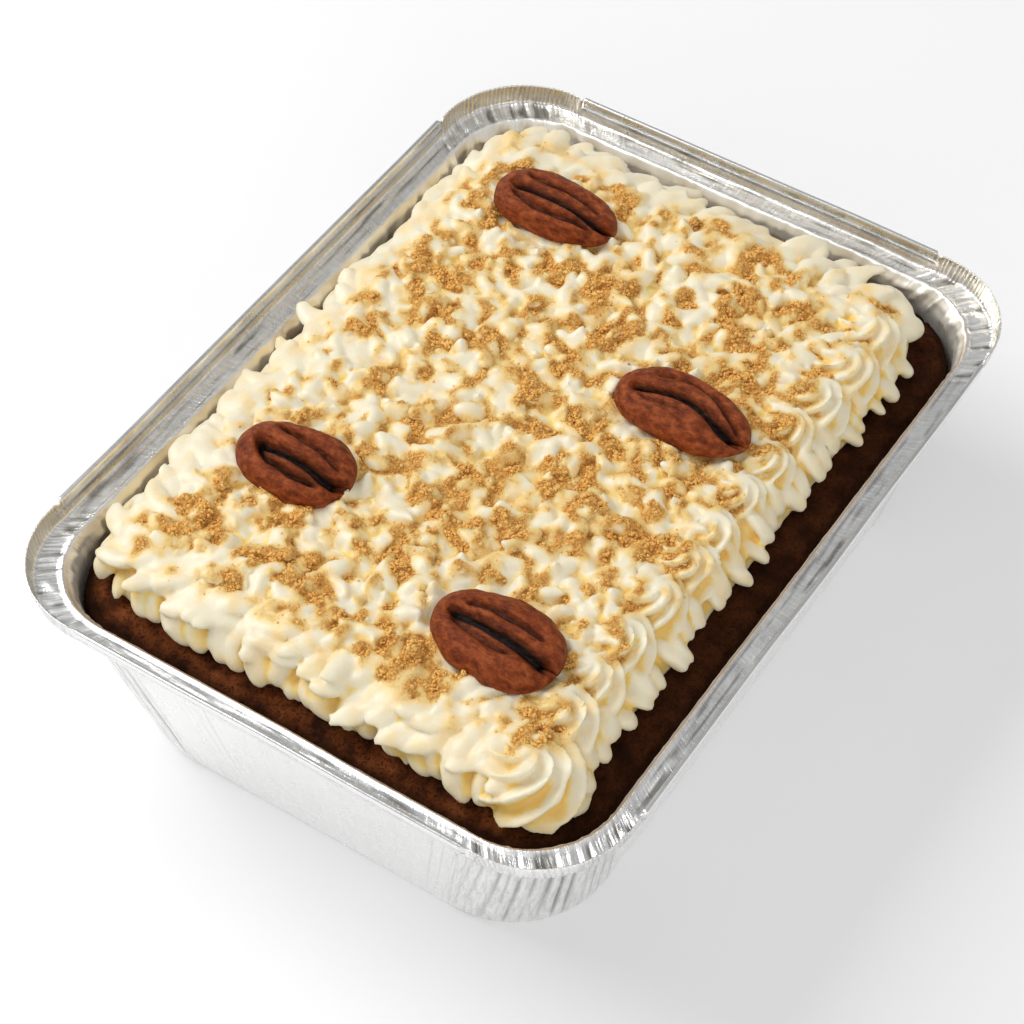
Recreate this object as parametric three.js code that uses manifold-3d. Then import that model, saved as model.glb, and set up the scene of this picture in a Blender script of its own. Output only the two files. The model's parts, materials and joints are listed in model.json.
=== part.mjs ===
import * as THREE from 'three';
import Module from 'manifold-3d';

const wasm = await Module();
wasm.setup();

// Foil tray, in millimetres. X is the short side, Y the long side, Z is up.
const trayWidth = 150;
const trayLength = 200;
const trayHeight = 55.4;
const foil = 0.7;
const mouthInset = 6.8;
const ledgeHeight = 50.2;
const baseInset = 16.3;
const pleatDepth = 0.7;
const cornerPleats = 5;
const hemStep = 0.3;
const hemHalfLong = 73;
const hemHalfShort = 49;

// Cake and frosting.
const gap = 0.3;
const cakeTop = 46;
const cakeWallGap = 0.9;
const frostingBase = cakeTop + gap;
const swirlRight = 51.5;
const swirlLeft = -54.5;
const swirlFront = -75;
const swirlBack = 76.5;
const swirlRidges = 6;
const swirlTop = 60.4;
const peakSpacing = 8.6;
const peakTop = 60;
const hollowFloor = 56.4;
const crumbCount = 42;

// Pecan halves: middle, length, width, taper toward the right end, and turn
// about Z, nod and lean in degrees.
const pecans = [
  { at: [-30.8, 58], long: 31.6, wide: 18, taper: 0.08, turn: 2, nod: 2, lean: -3 },
  { at: [27.7, 19], long: 34.2, wide: 18.4, taper: 0.07, turn: -5, nod: -3, lean: -2 },
  { at: [-35.2, -39.8], long: 28, wide: 18.8, taper: -0.12, turn: 5, nod: 2, lean: 4 },
  { at: [28.2, -56.2], long: 31.1, wide: 20, taper: -0.09, turn: -4, nod: -2, lean: 3 },
];
const pecanThick = 8.2;
const pecanSeat = 57.6;
const seatGap = 0.7;

function seeded(seed) {
  let state = seed >>> 0;
  return () => {
    state = (state + 0x6d2b79f5) >>> 0;
    let t = Math.imul(state ^ (state >>> 15), 1 | state);
    t = (t + Math.imul(t ^ (t >>> 7), 61 | t)) ^ t;
    return ((t ^ (t >>> 14)) >>> 0) / 4294967296;
  };
}

const radians = (deg) => (deg * Math.PI) / 180;
const mix = (a, b, t) => a + (b - a) * t;

// One closed rounded rectangle. Every other step of a corner is pressed in by
// the pleat and lifted by the crimp. With a hem, the straight sides carry a
// band that steps out by the hem and stands a little higher.
function roundedLoop({ inset, z, radius, pleat = 0, crimp = 0, hem = null, cornerSteps, marks = [] }) {
  const x = trayWidth / 2 - inset - radius;
  const y = trayLength / 2 - inset - radius;
  const middles = [[x, y], [-x, y], [-x, -y], [x, -y]];
  const loop = [];
  middles.forEach(([cx, cy], k) => {
    for (let i = 0; i <= cornerSteps; i++) {
      const turn = radians(90 * k + (90 * i) / cornerSteps);
      const pressed = i % 2 === 1 ? 1 : 0;
      const r = radius - pleat * pressed;
      loop.push([cx + r * Math.cos(turn), cy + r * Math.sin(turn), z + crimp * pressed]);
    }
    const out = radians(90 * (k + 1));
    const [nx, ny] = [Math.round(Math.cos(out)), Math.round(Math.sin(out))];
    const straight = k % 2 === 0 ? x : y;
    const half = Math.min(k % 2 === 0 ? hemHalfShort : hemHalfLong, straight - 1.2);
    const reach = k % 2 === 0 ? y + radius : x + radius;
    const along = hem
      ? [[half + 0.6, 0, 0], [half, hem.out, hem.up], [-half, hem.out, hem.up], [-half - 0.6, 0, 0]]
      : marks.map((t) => [t * straight, 0, 0]);
    for (const [s, step, up] of along) {
      loop.push([nx * (reach + step) + ny * s, ny * (reach + step) - nx * s, z + up]);
    }
  });
  return loop;
}

function solid(points, faces) {
  return new wasm.Manifold(new wasm.Mesh({
    numProp: 3,
    vertProperties: new Float32Array(points.flat()),
    triVerts: new Uint32Array(faces.flat()),
  }));
}

function middleOf(loop) {
  const sum = loop.reduce((s, p) => [s[0] + p[0], s[1] + p[1], s[2] + p[2]], [0, 0, 0]);
  return sum.map((v) => v / loop.length);
}

// Skins a stack of loops and closes both ends with a fan.
function loft(loops, ends = [middleOf(loops[0]), middleOf(loops[loops.length - 1])]) {
  const count = loops[0].length;
  const points = loops.flat();
  const faces = [];
  for (let k = 0; k + 1 < loops.length; k++) {
    for (let i = 0; i < count; i++) {
      const a = k * count + i;
      const b = k * count + ((i + 1) % count);
      faces.push([a, b, b + count], [a, b + count, a + count]);
    }
  }
  const first = points.length;
  const last = (loops.length - 1) * count;
  points.push(ends[0], ends[1]);
  for (let i = 0; i < count; i++) {
    const j = (i + 1) % count;
    faces.push([first, j, i], [first + 1, last + i, last + j]);
  }
  return solid(points, faces);
}

function unite(pieces) {
  return wasm.Manifold.union(pieces);
}

// Keeps the largest body and drops the scraps a cut leaves.
function largest(body) {
  return body.decompose().sort((a, b) => b.volume() - a.volume())[0];
}

// The foil shell runs up the outside, over the rim and down the inside. A
// doubled hem thickens the upright edge along each straight side.
function foilTray() {
  const flat = { out: 0, up: 0 };
  const rows = [
    [baseInset + 1.1, 0, 23, 0, 0],
    [baseInset, 0.5, 24, 0, 0],
    [baseInset - 0.6, 2.2, 24, pleatDepth, 0],
    [10.8, 26, 22.5, pleatDepth, 0],
    [7, 45.5, 21, pleatDepth, 0],
    [mouthInset - foil, ledgeHeight - foil, 20.8, 0.4, 0],
    [1.4, ledgeHeight - foil, 22, 0.3, 0.3],
    [hemStep, trayHeight - hemStep, 22.8, 0.3, 0, { out: hemStep, up: hemStep }],
    [hemStep + foil, trayHeight - hemStep, 22.1, 0.3, 0, { out: -hemStep, up: hemStep }],
    [1.4 + foil, ledgeHeight, 21.3, 0.3, 0.3],
    [mouthInset - 2.3, ledgeHeight, 20.6, 0.3, 0.6],
    [mouthInset, ledgeHeight, 20, 0.4, 0],
    [7 + foil, 45.5, 20.3, pleatDepth, 0],
    [10.8 + foil, 26, 21.8, pleatDepth, 0],
    [baseInset - 0.6 + foil, 2.5, 23.3, pleatDepth, 0],
    [baseInset + foil, 1.2, 23.3, 0, 0],
    [baseInset + 1.1 + foil, foil, 22.3, 0, 0],
  ];
  return loft(rows.map(([inset, z, radius, pleat, crimp, hem = flat]) =>
    roundedLoop({ inset, z, radius, pleat, crimp, hem, cornerSteps: cornerPleats * 2 })));
}

// Sponge that fills the tray, with a rounded shoulder drawn back from the foil
// and a slightly craggy top.
function cakeBody() {
  const random = seeded(31);
  const marks = [0.75, 0.45, 0.15, -0.15, -0.45, -0.75];
  const wall = (z) => mix(baseInset - 0.6 + foil, 7 + foil, (z - 2.5) / 43) + cakeWallGap;
  const rows = [
    [wall(2.4) + 2.4, foil + gap, 22, 0],
    [wall(2.4), 2.4, 23, 0],
    [wall(26), 26, 22, 0],
    [wall(37), 37, 21, 0],
    [wall(41) + 0.5, 41, 20.5, 0.3],
    [wall(43.6) + 1.9, 43.6, 19.5, 0.5],
    [wall(45) + 4.2, 45, 18, 0.4],
    [wall(45.8) + 9, cakeTop - 0.3, 15, 0.3],
    [wall(45.8) + 22, cakeTop - 0.2, 12, 0.2],
  ];
  const loops = rows.map(([inset, z, radius, crag]) =>
    roundedLoop({ inset, z, radius, cornerSteps: 4, marks })
      .map(([px, py, pz]) => {
        const pull = 1 - (crag * random()) / 60;
        return [px * pull, py * pull, pz - crag * random()];
      }));
  return loft(loops, [[0, 0, foil + gap], [0, 0, cakeTop]]);
}

// A piped swirl: a star section that twists and narrows as it climbs, with
// deep valleys between the ridges and a small drawn-up tip.
function swirl({ x, y, radius, top, twist, start, leanX, leanY, ridges }) {
  const rows = [[0, 1], [0.24, 1.06], [0.6, 0.84], [0.9, 0.4]];
  const height = top - frostingBase;
  const loops = rows.map(([t, spread]) => {
    const loop = [];
    for (let i = 0; i < ridges * 2; i++) {
      const skew = i % 2 === 0 ? 0 : 0.16;
      const angle = start + twist * t ** 1.4 + ((i + skew) * Math.PI) / ridges;
      const r = radius * spread * (i % 2 === 0 ? 1 : 0.73);
      const lift = i % 2 === 0 ? 0 : -0.5 * Math.min(1, t * 4);
      loop.push([
        x + leanX * t + r * Math.cos(angle),
        y + leanY * t + r * Math.sin(angle),
        frostingBase + height * t + lift,
      ]);
    }
    return loop;
  });
  return loft(loops, [[x, y, frostingBase], [x + leanX, y + leanY, top]]);
}

// Swirls stand side by side round the edge, large on the right and smaller
// and closer on the other sides.
function borderSwirls() {
  const random = seeded(7);
  const [right, left, front, back] = [swirlRight, swirlLeft, swirlFront, swirlBack];
  const runs = [
    { from: [right, front], to: [right, back], count: 11, radius: 10.4 },
    { from: [right - 14, back], to: [left, back], count: 7, radius: 9.8 },
    { from: [left, back - 15], to: [left, front], count: 9, radius: 10 },
    { from: [left + 13.5, front], to: [right - 14, front], count: 6, radius: 9.8 },
  ];
  const bodies = [];
  for (const run of runs) {
    for (let i = 0; i < run.count; i++) {
      const t = i / (run.count - 1);
      const size = run.radius * (0.94 + 0.12 * random());
      bodies.push(swirl({
        x: mix(run.from[0], run.to[0], t) + (random() - 0.5) * 1.6,
        y: mix(run.from[1], run.to[1], t) + (random() - 0.5) * 1.6,
        radius: size,
        top: swirlTop + (random() - 0.5) * 1.8,
        twist: -radians(120 + 50 * random()),
        start: random() * Math.PI,
        leanX: (random() - 0.5) * 2,
        leanY: (random() - 0.5) * 2 - 1,
        ridges: swirlRidges,
      }));
    }
  }
  return bodies;
}

// The middle is covered with small pulled peaks. The lattice runs at half the
// peak spacing, so each peak has hollows on every side.
function peakedMiddle() {
  const random = seeded(19);
  const pitch = peakSpacing / 2;
  const inward = 1.5;
  const [left, right] = [swirlLeft + inward, swirlRight - inward];
  const [front, back] = [swirlFront + inward, swirlBack - inward];
  const columns = Math.round((right - left) / pitch);
  const rows = Math.round((back - front) / (pitch * 0.9));
  const points = [];
  const faces = [];
  for (let j = 0; j <= rows; j++) {
    for (let i = 0; i <= columns; i++) {
      const edge = i === 0 || j === 0 || i === columns || j === rows;
      const shift = edge ? 0 : pitch * 0.42;
      const offset = edge ? 0 : (j % 4 < 2 ? 0.25 : -0.25) * pitch;
      const isPeak = (i + (j % 4 < 2 ? 0 : 1)) % 2 === 0 && j % 2 === 0;
      const level = isPeak
        ? peakTop - 1.6 * random() ** 2
        : mix(hollowFloor, peakTop - 1.2, random() ** 1.5);
      points.push([
        mix(left, right, i / columns) + offset + (random() - 0.5) * shift,
        mix(front, back, j / rows) + (random() - 0.5) * shift,
        edge ? hollowFloor : level,
      ]);
    }
  }
  const at = (i, j) => j * (columns + 1) + i;
  const below = points.length;
  for (let k = 0; k < below; k++) {
    points.push([points[k][0], points[k][1], frostingBase]);
  }
  for (let j = 0; j < rows; j++) {
    for (let i = 0; i < columns; i++) {
      const [a, b, c, d] = [at(i, j), at(i + 1, j), at(i + 1, j + 1), at(i, j + 1)];
      const along = points[a][2] + points[c][2] > points[b][2] + points[d][2];
      const cell = along ? [[a, b, c], [a, c, d]] : [[a, b, d], [b, c, d]];
      faces.push(...cell);
      faces.push(...cell.map(([p, q, r]) => [p + below, r + below, q + below]));
    }
  }
  const outline = [];
  for (let i = 0; i < columns; i++) outline.push(at(i, 0));
  for (let j = 0; j < rows; j++) outline.push(at(columns, j));
  for (let i = columns; i > 0; i--) outline.push(at(i, rows));
  for (let j = rows; j > 0; j--) outline.push(at(0, j));
  outline.forEach((a, k) => {
    const b = outline[(k + 1) % outline.length];
    faces.push([a, a + below, b + below], [a, b + below, b]);
  });
  return solid(points, faces);
}

// Height of the top skin of a body straight above a point.
function skinHeight(mesh, x, y) {
  const { vertProperties: v, triVerts: f, numProp: n } = mesh;
  let top = -Infinity;
  for (let k = 0; k < f.length; k += 3) {
    const [a, b, c] = [f[k] * n, f[k + 1] * n, f[k + 2] * n];
    const d = (v[b] - v[a]) * (v[c + 1] - v[a + 1]) - (v[c] - v[a]) * (v[b + 1] - v[a + 1]);
    if (Math.abs(d) < 1e-9) continue;
    const s = ((x - v[a]) * (v[c + 1] - v[a + 1]) - (v[c] - v[a]) * (y - v[a + 1])) / d;
    const t = ((v[b] - v[a]) * (y - v[a + 1]) - (x - v[a]) * (v[b + 1] - v[a + 1])) / d;
    if (s < 0 || t < 0 || s + t > 1) continue;
    top = Math.max(top, v[a + 2] + s * (v[b + 2] - v[a + 2]) + t * (v[c + 2] - v[a + 2]));
  }
  return top;
}

// A clump of sugar crumb: an uneven four-sided lump with a blunt top.
function crumb(x, y, z, size, random) {
  const turn = random() * Math.PI;
  const belt = (reach, height) => Array.from({ length: 4 }, (_, k) => {
    const angle = turn + (k * Math.PI) / 2;
    const r = size * reach * (0.84 + 0.32 * random());
    return [x + r * Math.cos(angle), y + r * Math.sin(angle), z + size * height];
  });
  return loft([belt(1.1, -0.6), belt(0.7, 0.45)], [[x, y, z - size], [x, y, z + size * 0.62]]);
}

// Crumbs lie in the hollows of the middle, the largest drawn first, each clear
// of the others and of the pecans.
function crumbsOn(body) {
  const random = seeded(53);
  const mesh = body.getMesh();
  const placed = [];
  const pieces = [];
  for (let tries = 0; tries < 6000 && placed.length < crumbCount; tries++) {
    const x = mix(swirlLeft + 1, swirlRight - 1, random());
    const y = mix(swirlFront + 2, swirlBack - 2, random());
    const size = mix(2.5, 1.5, placed.length / crumbCount);
    const spread = mix(9.5, 7, placed.length / crumbCount);
    const nearPecan = pecans.some((p) =>
      Math.hypot(p.at[0] - x, p.at[1] - y) < p.long / 2 + 3.5);
    const nearCrumb = placed.some((p) => Math.hypot(p[0] - x, p[1] - y) < spread);
    if (nearPecan || nearCrumb) continue;
    const z = skinHeight(mesh, x, y);
    if (z > peakTop - 0.9) continue;
    placed.push([x, y]);
    pieces.push(crumb(x, y, z + 0.15, size, random));
  }
  return pieces;
}

// Half a pecan, flat side down. Two grooves run its length beside a middle
// ridge, and the widest point lies off the middle by the taper.
function pecanLoops({ long, wide, taper }, grow, grooved) {
  const stations = 11;
  const across = grooved ? [-1, -0.82, -0.58, -0.4, -0.2, 0, 0.2, 0.4, 0.58, 0.82, 1]
    : [-1, -0.8, -0.35, 0.35, 0.8, 1];
  const loops = [];
  for (let k = 0; k < stations; k++) {
    const u = mix(-0.965, 0.965, k / (stations - 1));
    const round = (1 - Math.abs(u) ** 2.5) ** 0.5;
    const half = (wide / 2) * round * (1 - taper * u) + grow;
    const thick = pecanThick * round ** 0.8;
    const top = across.map((v) => {
      const dome = Math.sqrt(Math.max(0, 1 - v * v * 0.9));
      const groove = grooved && Math.abs(Math.abs(v) - 0.4) < 0.01 ? 0.3 * round : 0;
      return [u * (long / 2 + grow), half * v, thick * (dome * (1 - groove) - 0.25) + grow];
    });
    const under = (grooved ? [0.55, -0.55] : [0.78, -0.78]).map((v) => [
      u * (long / 2 + grow), half * v, -thick * 0.25 - grow,
    ]);
    loops.push([...top, ...under]);
  }
  return loops.map((loop) => loop.reverse());
}

function pecanSolid(spec, grow, grooved) {
  const loops = pecanLoops(spec, grow, grooved);
  const tip = spec.long / 2 + grow;
  return loft(loops, [[-tip, 0, 0.8], [tip, 0, 0.8]])
    .rotate([spec.lean, spec.nod, spec.turn])
    .translate([spec.at[0], spec.at[1], pecanSeat + pecanThick * 0.25]);
}

function frostingBody() {
  const piped = unite([peakedMiddle(), ...borderSwirls()]);
  const crumbed = unite([piped, ...crumbsOn(piped)]);
  const seats = unite(pecans.map((spec) => pecanSolid(spec, seatGap, false)));
  return largest(crumbed.simplify(0.05).subtract(seats));
}

function meshOf(body, name, colour, roughness, metalness) {
  const { vertProperties, triVerts } = body.getMesh();
  const geometry = new THREE.BufferGeometry();
  geometry.setAttribute('position', new THREE.BufferAttribute(new Float32Array(vertProperties), 3));
  geometry.setIndex(new THREE.BufferAttribute(new Uint32Array(triVerts), 1));
  geometry.computeVertexNormals();
  const material = new THREE.MeshStandardMaterial({ color: colour, roughness, metalness });
  const mesh = new THREE.Mesh(geometry, material);
  mesh.name = name;
  return mesh;
}

const carrotCake = new THREE.Group();
carrotCake.name = 'carrot_cake';
carrotCake.add(
  meshOf(foilTray(), 'foil_tray', 0xd4d6d8, 0.32, 1),
  meshOf(cakeBody(), 'cake', 0x4f2b1a, 0.9, 0),
  meshOf(frostingBody(), 'frosting', 0xf3e6bf, 0.5, 0),
  ...pecans.map((spec, i) =>
    meshOf(pecanSolid(spec, 0, true), `pecan_${i + 1}`, 0x7a3a22, 0.6, 0)),
);

export default carrotCake;
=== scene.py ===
import json
import math
import random

import bmesh
import bpy
import numpy as np
from mathutils import Euler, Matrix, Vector

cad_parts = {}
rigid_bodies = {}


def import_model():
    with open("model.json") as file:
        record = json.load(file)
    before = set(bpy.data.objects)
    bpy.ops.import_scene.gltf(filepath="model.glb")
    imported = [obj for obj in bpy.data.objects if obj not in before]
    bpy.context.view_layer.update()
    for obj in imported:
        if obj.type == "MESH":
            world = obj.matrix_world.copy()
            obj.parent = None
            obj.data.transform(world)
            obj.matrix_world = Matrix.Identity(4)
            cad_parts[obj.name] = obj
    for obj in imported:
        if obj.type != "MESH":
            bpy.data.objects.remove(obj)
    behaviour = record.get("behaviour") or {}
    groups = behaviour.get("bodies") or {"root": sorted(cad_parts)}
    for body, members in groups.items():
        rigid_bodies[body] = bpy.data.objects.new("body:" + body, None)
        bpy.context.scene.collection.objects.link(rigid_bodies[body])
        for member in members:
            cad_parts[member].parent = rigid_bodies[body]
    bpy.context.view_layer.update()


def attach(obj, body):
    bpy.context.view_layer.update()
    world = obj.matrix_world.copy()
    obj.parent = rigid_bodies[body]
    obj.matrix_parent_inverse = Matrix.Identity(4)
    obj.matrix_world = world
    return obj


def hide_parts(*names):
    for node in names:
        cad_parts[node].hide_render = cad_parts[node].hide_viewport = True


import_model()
mm = 0.001


# Mesh helpers.
def plainMesh(name, points, faces):
    mesh = bpy.data.meshes.new(name)
    mesh.from_pydata([tuple(p) for p in points], [], [tuple(f) for f in faces])
    mesh.update()
    return mesh


def pieceFrom(name, mesh):
    piece = bpy.data.objects.new(name, mesh)
    bpy.context.scene.collection.objects.link(piece)
    return piece


def shadeSmooth(mesh):
    mesh.polygons.foreach_set("use_smooth", [True] * len(mesh.polygons))
    mesh.update()


# Keeps what the modifiers make as a plain mesh and drops them.
def bakeModifiers(piece):
    bpy.context.view_layer.update()
    graph = bpy.context.evaluated_depsgraph_get()
    mesh = bpy.data.meshes.new_from_object(piece.evaluated_get(graph), depsgraph=graph)
    piece.modifiers.clear()
    piece.data = mesh
    return mesh


def meshArrays(mesh):
    points = np.empty(len(mesh.vertices) * 3)
    mesh.vertices.foreach_get("co", points)
    normals = np.empty(len(mesh.vertices) * 3)
    mesh.vertices.foreach_get("normal", normals)
    return points.reshape(-1, 3), normals.reshape(-1, 3)


def setPoints(mesh, points):
    mesh.vertices.foreach_set("co", np.asarray(points, dtype=float).ravel())
    mesh.update()


def pointValue(mesh, name, values):
    layer = mesh.attributes.new(name, "FLOAT", "POINT")
    layer.data.foreach_set("value", np.asarray(values, dtype=np.float32))


# Skins a stack of equal loops, rows by columns by 3, with a point at each end.
def skinned(name, loops, first, last):
    loops = np.asarray(loops, float)
    rows, count = loops.shape[:2]
    points = np.vstack([loops.reshape(-1, 3), [first], [last]])
    k, i = np.meshgrid(np.arange(rows - 1), np.arange(count), indexing="ij")
    a = (k * count + i).ravel()
    b = (k * count + (i + 1) % count).ravel()
    faces = np.stack([a, b, b + count, a + count], 1).tolist()
    top, ends = (rows - 1) * count, rows * count
    faces += [(ends, (j + 1) % count, j) for j in range(count)]
    faces += [(ends + 1, top + j, top + (j + 1) % count) for j in range(count)]
    return plainMesh(name, points, faces)


# The rows of a profile, with steps put in between them. Column 3 holds the steps.
def profileRows(profile):
    rows = []
    for now, after in zip(profile, profile[1:] + [profile[-1]]):
        a, b = np.array(now[:3] + now[4:], float), np.array(after[:3] + after[4:], float)
        steps = max(1, now[3])
        rows += [a + (b - a) * k / steps for k in range(steps)]
    return np.array(rows).T[:, :, None]


# Signs of the quarter of the plan that each corner lies in, counted from +X +Y.
def cornerSigns(corner):
    return np.where((corner == 0) | (corner == 3), 1, -1), np.where(corner < 2, 1, -1)


# Smooth noise between -1 and 1 at each point. size is one length or one per axis.
def softNoise(points, size, seed=0):
    p = np.asarray(points, float) / size
    cell = np.floor(p).astype(np.int64)
    blend = p - cell
    blend = blend * blend * (3 - 2 * blend)
    total = 0
    for corner in np.ndindex(2, 2, 2):
        x, y, z = (cell[..., axis] + corner[axis] for axis in range(3))
        mixed = x * 374761393 + y * 668265263 + z * 1103515245 + seed * 144269
        mixed = (mixed ^ (mixed >> 13)) * 1274126177
        value = ((mixed ^ (mixed >> 16)) & 0xffff) / 32767.5 - 1
        for axis in range(3):
            value = value * (blend[..., axis] if corner[axis] else 1 - blend[..., axis])
        total = total + value
    return total


def smoothStep(low, high, value):
    t = np.clip((value - low) / (high - low), 0, 1)
    return t * t * (3 - 2 * t)


# Geometry Nodes helpers. A tree's inputs have a label, a socket type and a value;
# the sockets' identifiers come back by label.
def newTree(name, inputs):
    tree = bpy.data.node_groups.new(name, "GeometryNodeTree")
    tree.interface.new_socket("Geometry", in_out="INPUT", socket_type="NodeSocketGeometry")
    sockets = {}
    for label, kind, value in inputs:
        socket = tree.interface.new_socket(label, in_out="INPUT", socket_type=kind)
        if value is not None:
            socket.default_value = value
        sockets[label] = socket.identifier
    tree.interface.new_socket("Geometry", in_out="OUTPUT", socket_type="NodeSocketGeometry")
    return tree, sockets


def addNode(tree, kind, **settings):
    node = tree.nodes.new(kind)
    for key, value in settings.items():
        setattr(node, key, value)
    return node


def link(tree, start, end):
    tree.links.new(start, end)


def runTree(piece, tree, sockets, values):
    modifier = piece.modifiers.new(tree.name, "NODES")
    modifier.node_group = tree
    for label, value in values.items():
        modifier[sockets[label]] = value
    return bakeModifiers(piece)


def mathNode(tree, operation, a, b=None):
    node = addNode(tree, "ShaderNodeMath", operation=operation)
    for socket, value in zip(node.inputs, (a, b)):
        if isinstance(value, bpy.types.NodeSocket):
            link(tree, value, socket)
        elif value is not None:
            socket.default_value = value
    return node.outputs[0]


def namedValue(tree, name, kind):
    node = addNode(tree, "GeometryNodeInputNamedAttribute", data_type=kind)
    node.inputs["Name"].default_value = name
    return node.outputs["Attribute"]


def randomValue(tree, low, high, seed):
    node = addNode(tree, "FunctionNodeRandomValue", data_type="FLOAT")
    for socket, value in ((node.inputs[2], low), (node.inputs[3], high), (node.inputs["Seed"], seed)):
        link(tree, value, socket)
    return node.outputs[1]


# Puts the shapes of the tree's collection on points, as real mesh with its material.
def putShapes(tree, start, points, rotation, scale, which=None):
    shapes = addNode(tree, "GeometryNodeCollectionInfo")
    shapes.inputs["Separate Children"].default_value = True
    link(tree, start.outputs["Shapes"], shapes.inputs["Collection"])
    dots = addNode(tree, "GeometryNodeInstanceOnPoints")
    dots.inputs["Pick Instance"].default_value = True
    link(tree, points, dots.inputs["Points"])
    link(tree, shapes.outputs[0], dots.inputs["Instance"])
    if which is not None:
        link(tree, which, dots.inputs["Instance Index"])
    link(tree, rotation, dots.inputs["Rotation"])
    link(tree, scale, dots.inputs["Scale"])
    real = addNode(tree, "GeometryNodeRealizeInstances")
    link(tree, dots.outputs["Instances"], real.inputs[0])
    finish = addNode(tree, "GeometryNodeSetMaterial")
    link(tree, real.outputs[0], finish.inputs["Geometry"])
    link(tree, start.outputs["Material"], finish.inputs["Material"])
    link(tree, finish.outputs[0], addNode(tree, "NodeGroupOutput").inputs["Geometry"])


# Material helpers.
def newMaterial(name, constants):
    material = bpy.data.materials.new(name)
    material.use_nodes = True
    tree = material.node_tree
    shader = tree.nodes["Principled BSDF"]
    for label, value in constants.items():
        shader.inputs[label].default_value = value
    coords = addNode(tree, "ShaderNodeTexCoord").outputs["Object"]
    return material, tree, shader, coords


def colourRamp(tree, factor, stops):
    ramp = tree.nodes.new("ShaderNodeValToRGB")
    while len(ramp.color_ramp.elements) < len(stops):
        ramp.color_ramp.elements.new(0.5)
    for element, (place, colour) in zip(ramp.color_ramp.elements, stops):
        element.position = place
        element.color = (*colour, 1)
    link(tree, factor, ramp.inputs["Fac"])
    return ramp.outputs["Color"]


def greyRamp(tree, factor, low, high, bottom=0.0, top=1.0):
    return colourRamp(tree, factor, [(low, (bottom,) * 3), (high, (top,) * 3)])


def stretched(tree, coords, scale):
    mapping = addNode(tree, "ShaderNodeMapping")
    mapping.inputs["Scale"].default_value = scale
    link(tree, coords, mapping.inputs["Vector"])
    return mapping.outputs[0]


def noiseValue(tree, coords, scale, detail, rough):
    texture = addNode(tree, "ShaderNodeTexNoise")
    texture.inputs["Scale"].default_value = scale
    texture.inputs["Detail"].default_value = detail
    texture.inputs["Roughness"].default_value = rough
    link(tree, coords, texture.inputs["Vector"])
    return texture.outputs["Fac"]


def bump(tree, height, strength, distance, normal=None):
    node = addNode(tree, "ShaderNodeBump")
    node.inputs["Strength"].default_value = strength
    node.inputs["Distance"].default_value = distance
    link(tree, height, node.inputs["Height"])
    if normal is not None:
        link(tree, normal, node.inputs["Normal"])
    return node.outputs["Normal"]


def mixColour(tree, factor, a, b):
    node = addNode(tree, "ShaderNodeMix", data_type="RGBA")
    for socket, value in ((node.inputs["Factor"], factor), (node.inputs[6], a), (node.inputs[7], b)):
        if isinstance(value, bpy.types.NodeSocket):
            link(tree, value, socket)
        else:
            socket.default_value = value if isinstance(value, float) else (*value, 1)
    return node.outputs[2]


def mixValue(tree, factor, a, b):
    node = addNode(tree, "ShaderNodeMix", data_type="FLOAT")
    for socket, value in zip((node.inputs[0], node.inputs[2], node.inputs[3]), (factor, a, b)):
        link(tree, value, socket)
    return node.outputs[0]


# a + share * b
def plusShare(tree, a, b, share):
    return mathNode(tree, "ADD", a, mathNode(tree, "MULTIPLY", b, share))


def attributeValue(tree, name):
    return addNode(tree, "ShaderNodeAttribute", attribute_name=name).outputs["Fac"]


# The foil tray, in millimetres.
traySizes = {
    "width": 150.0,
    "length": 200.0,
    "hemHalfLong": 73.0,      # half of the hem on a long side
    "hemHalfShort": 49.0,
    "hemStep": 0.36,
    "hemLift": 0.3,
    "pleatPitch": 1.12,       # fine radial pleats of the rim's corners
    "pleatDepth": 0.3,
    "ribPitch": 2.9,          # folds of the corner walls
    "ribDepth": 0.9,
    "flutePitch": 3.6,        # faint flutes of the straight walls
    "fluteDepth": 0.09,
    "crumple": 0.42,          # creases of the ledge's corners
    "ripple": 0.16,           # ripples of its straight sides
    "wrinkle": 1.1,           # soft folds of the inner wall
    "rimRadius": 22.5,        # corner radius of the rim's middle line
    "rimInset": 0.3,
    "fineStep": 0.28,         # column spacing in the corners, and on the sides
    "wideStep": 1.15,
    "fineReach": 6.5,
}

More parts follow.
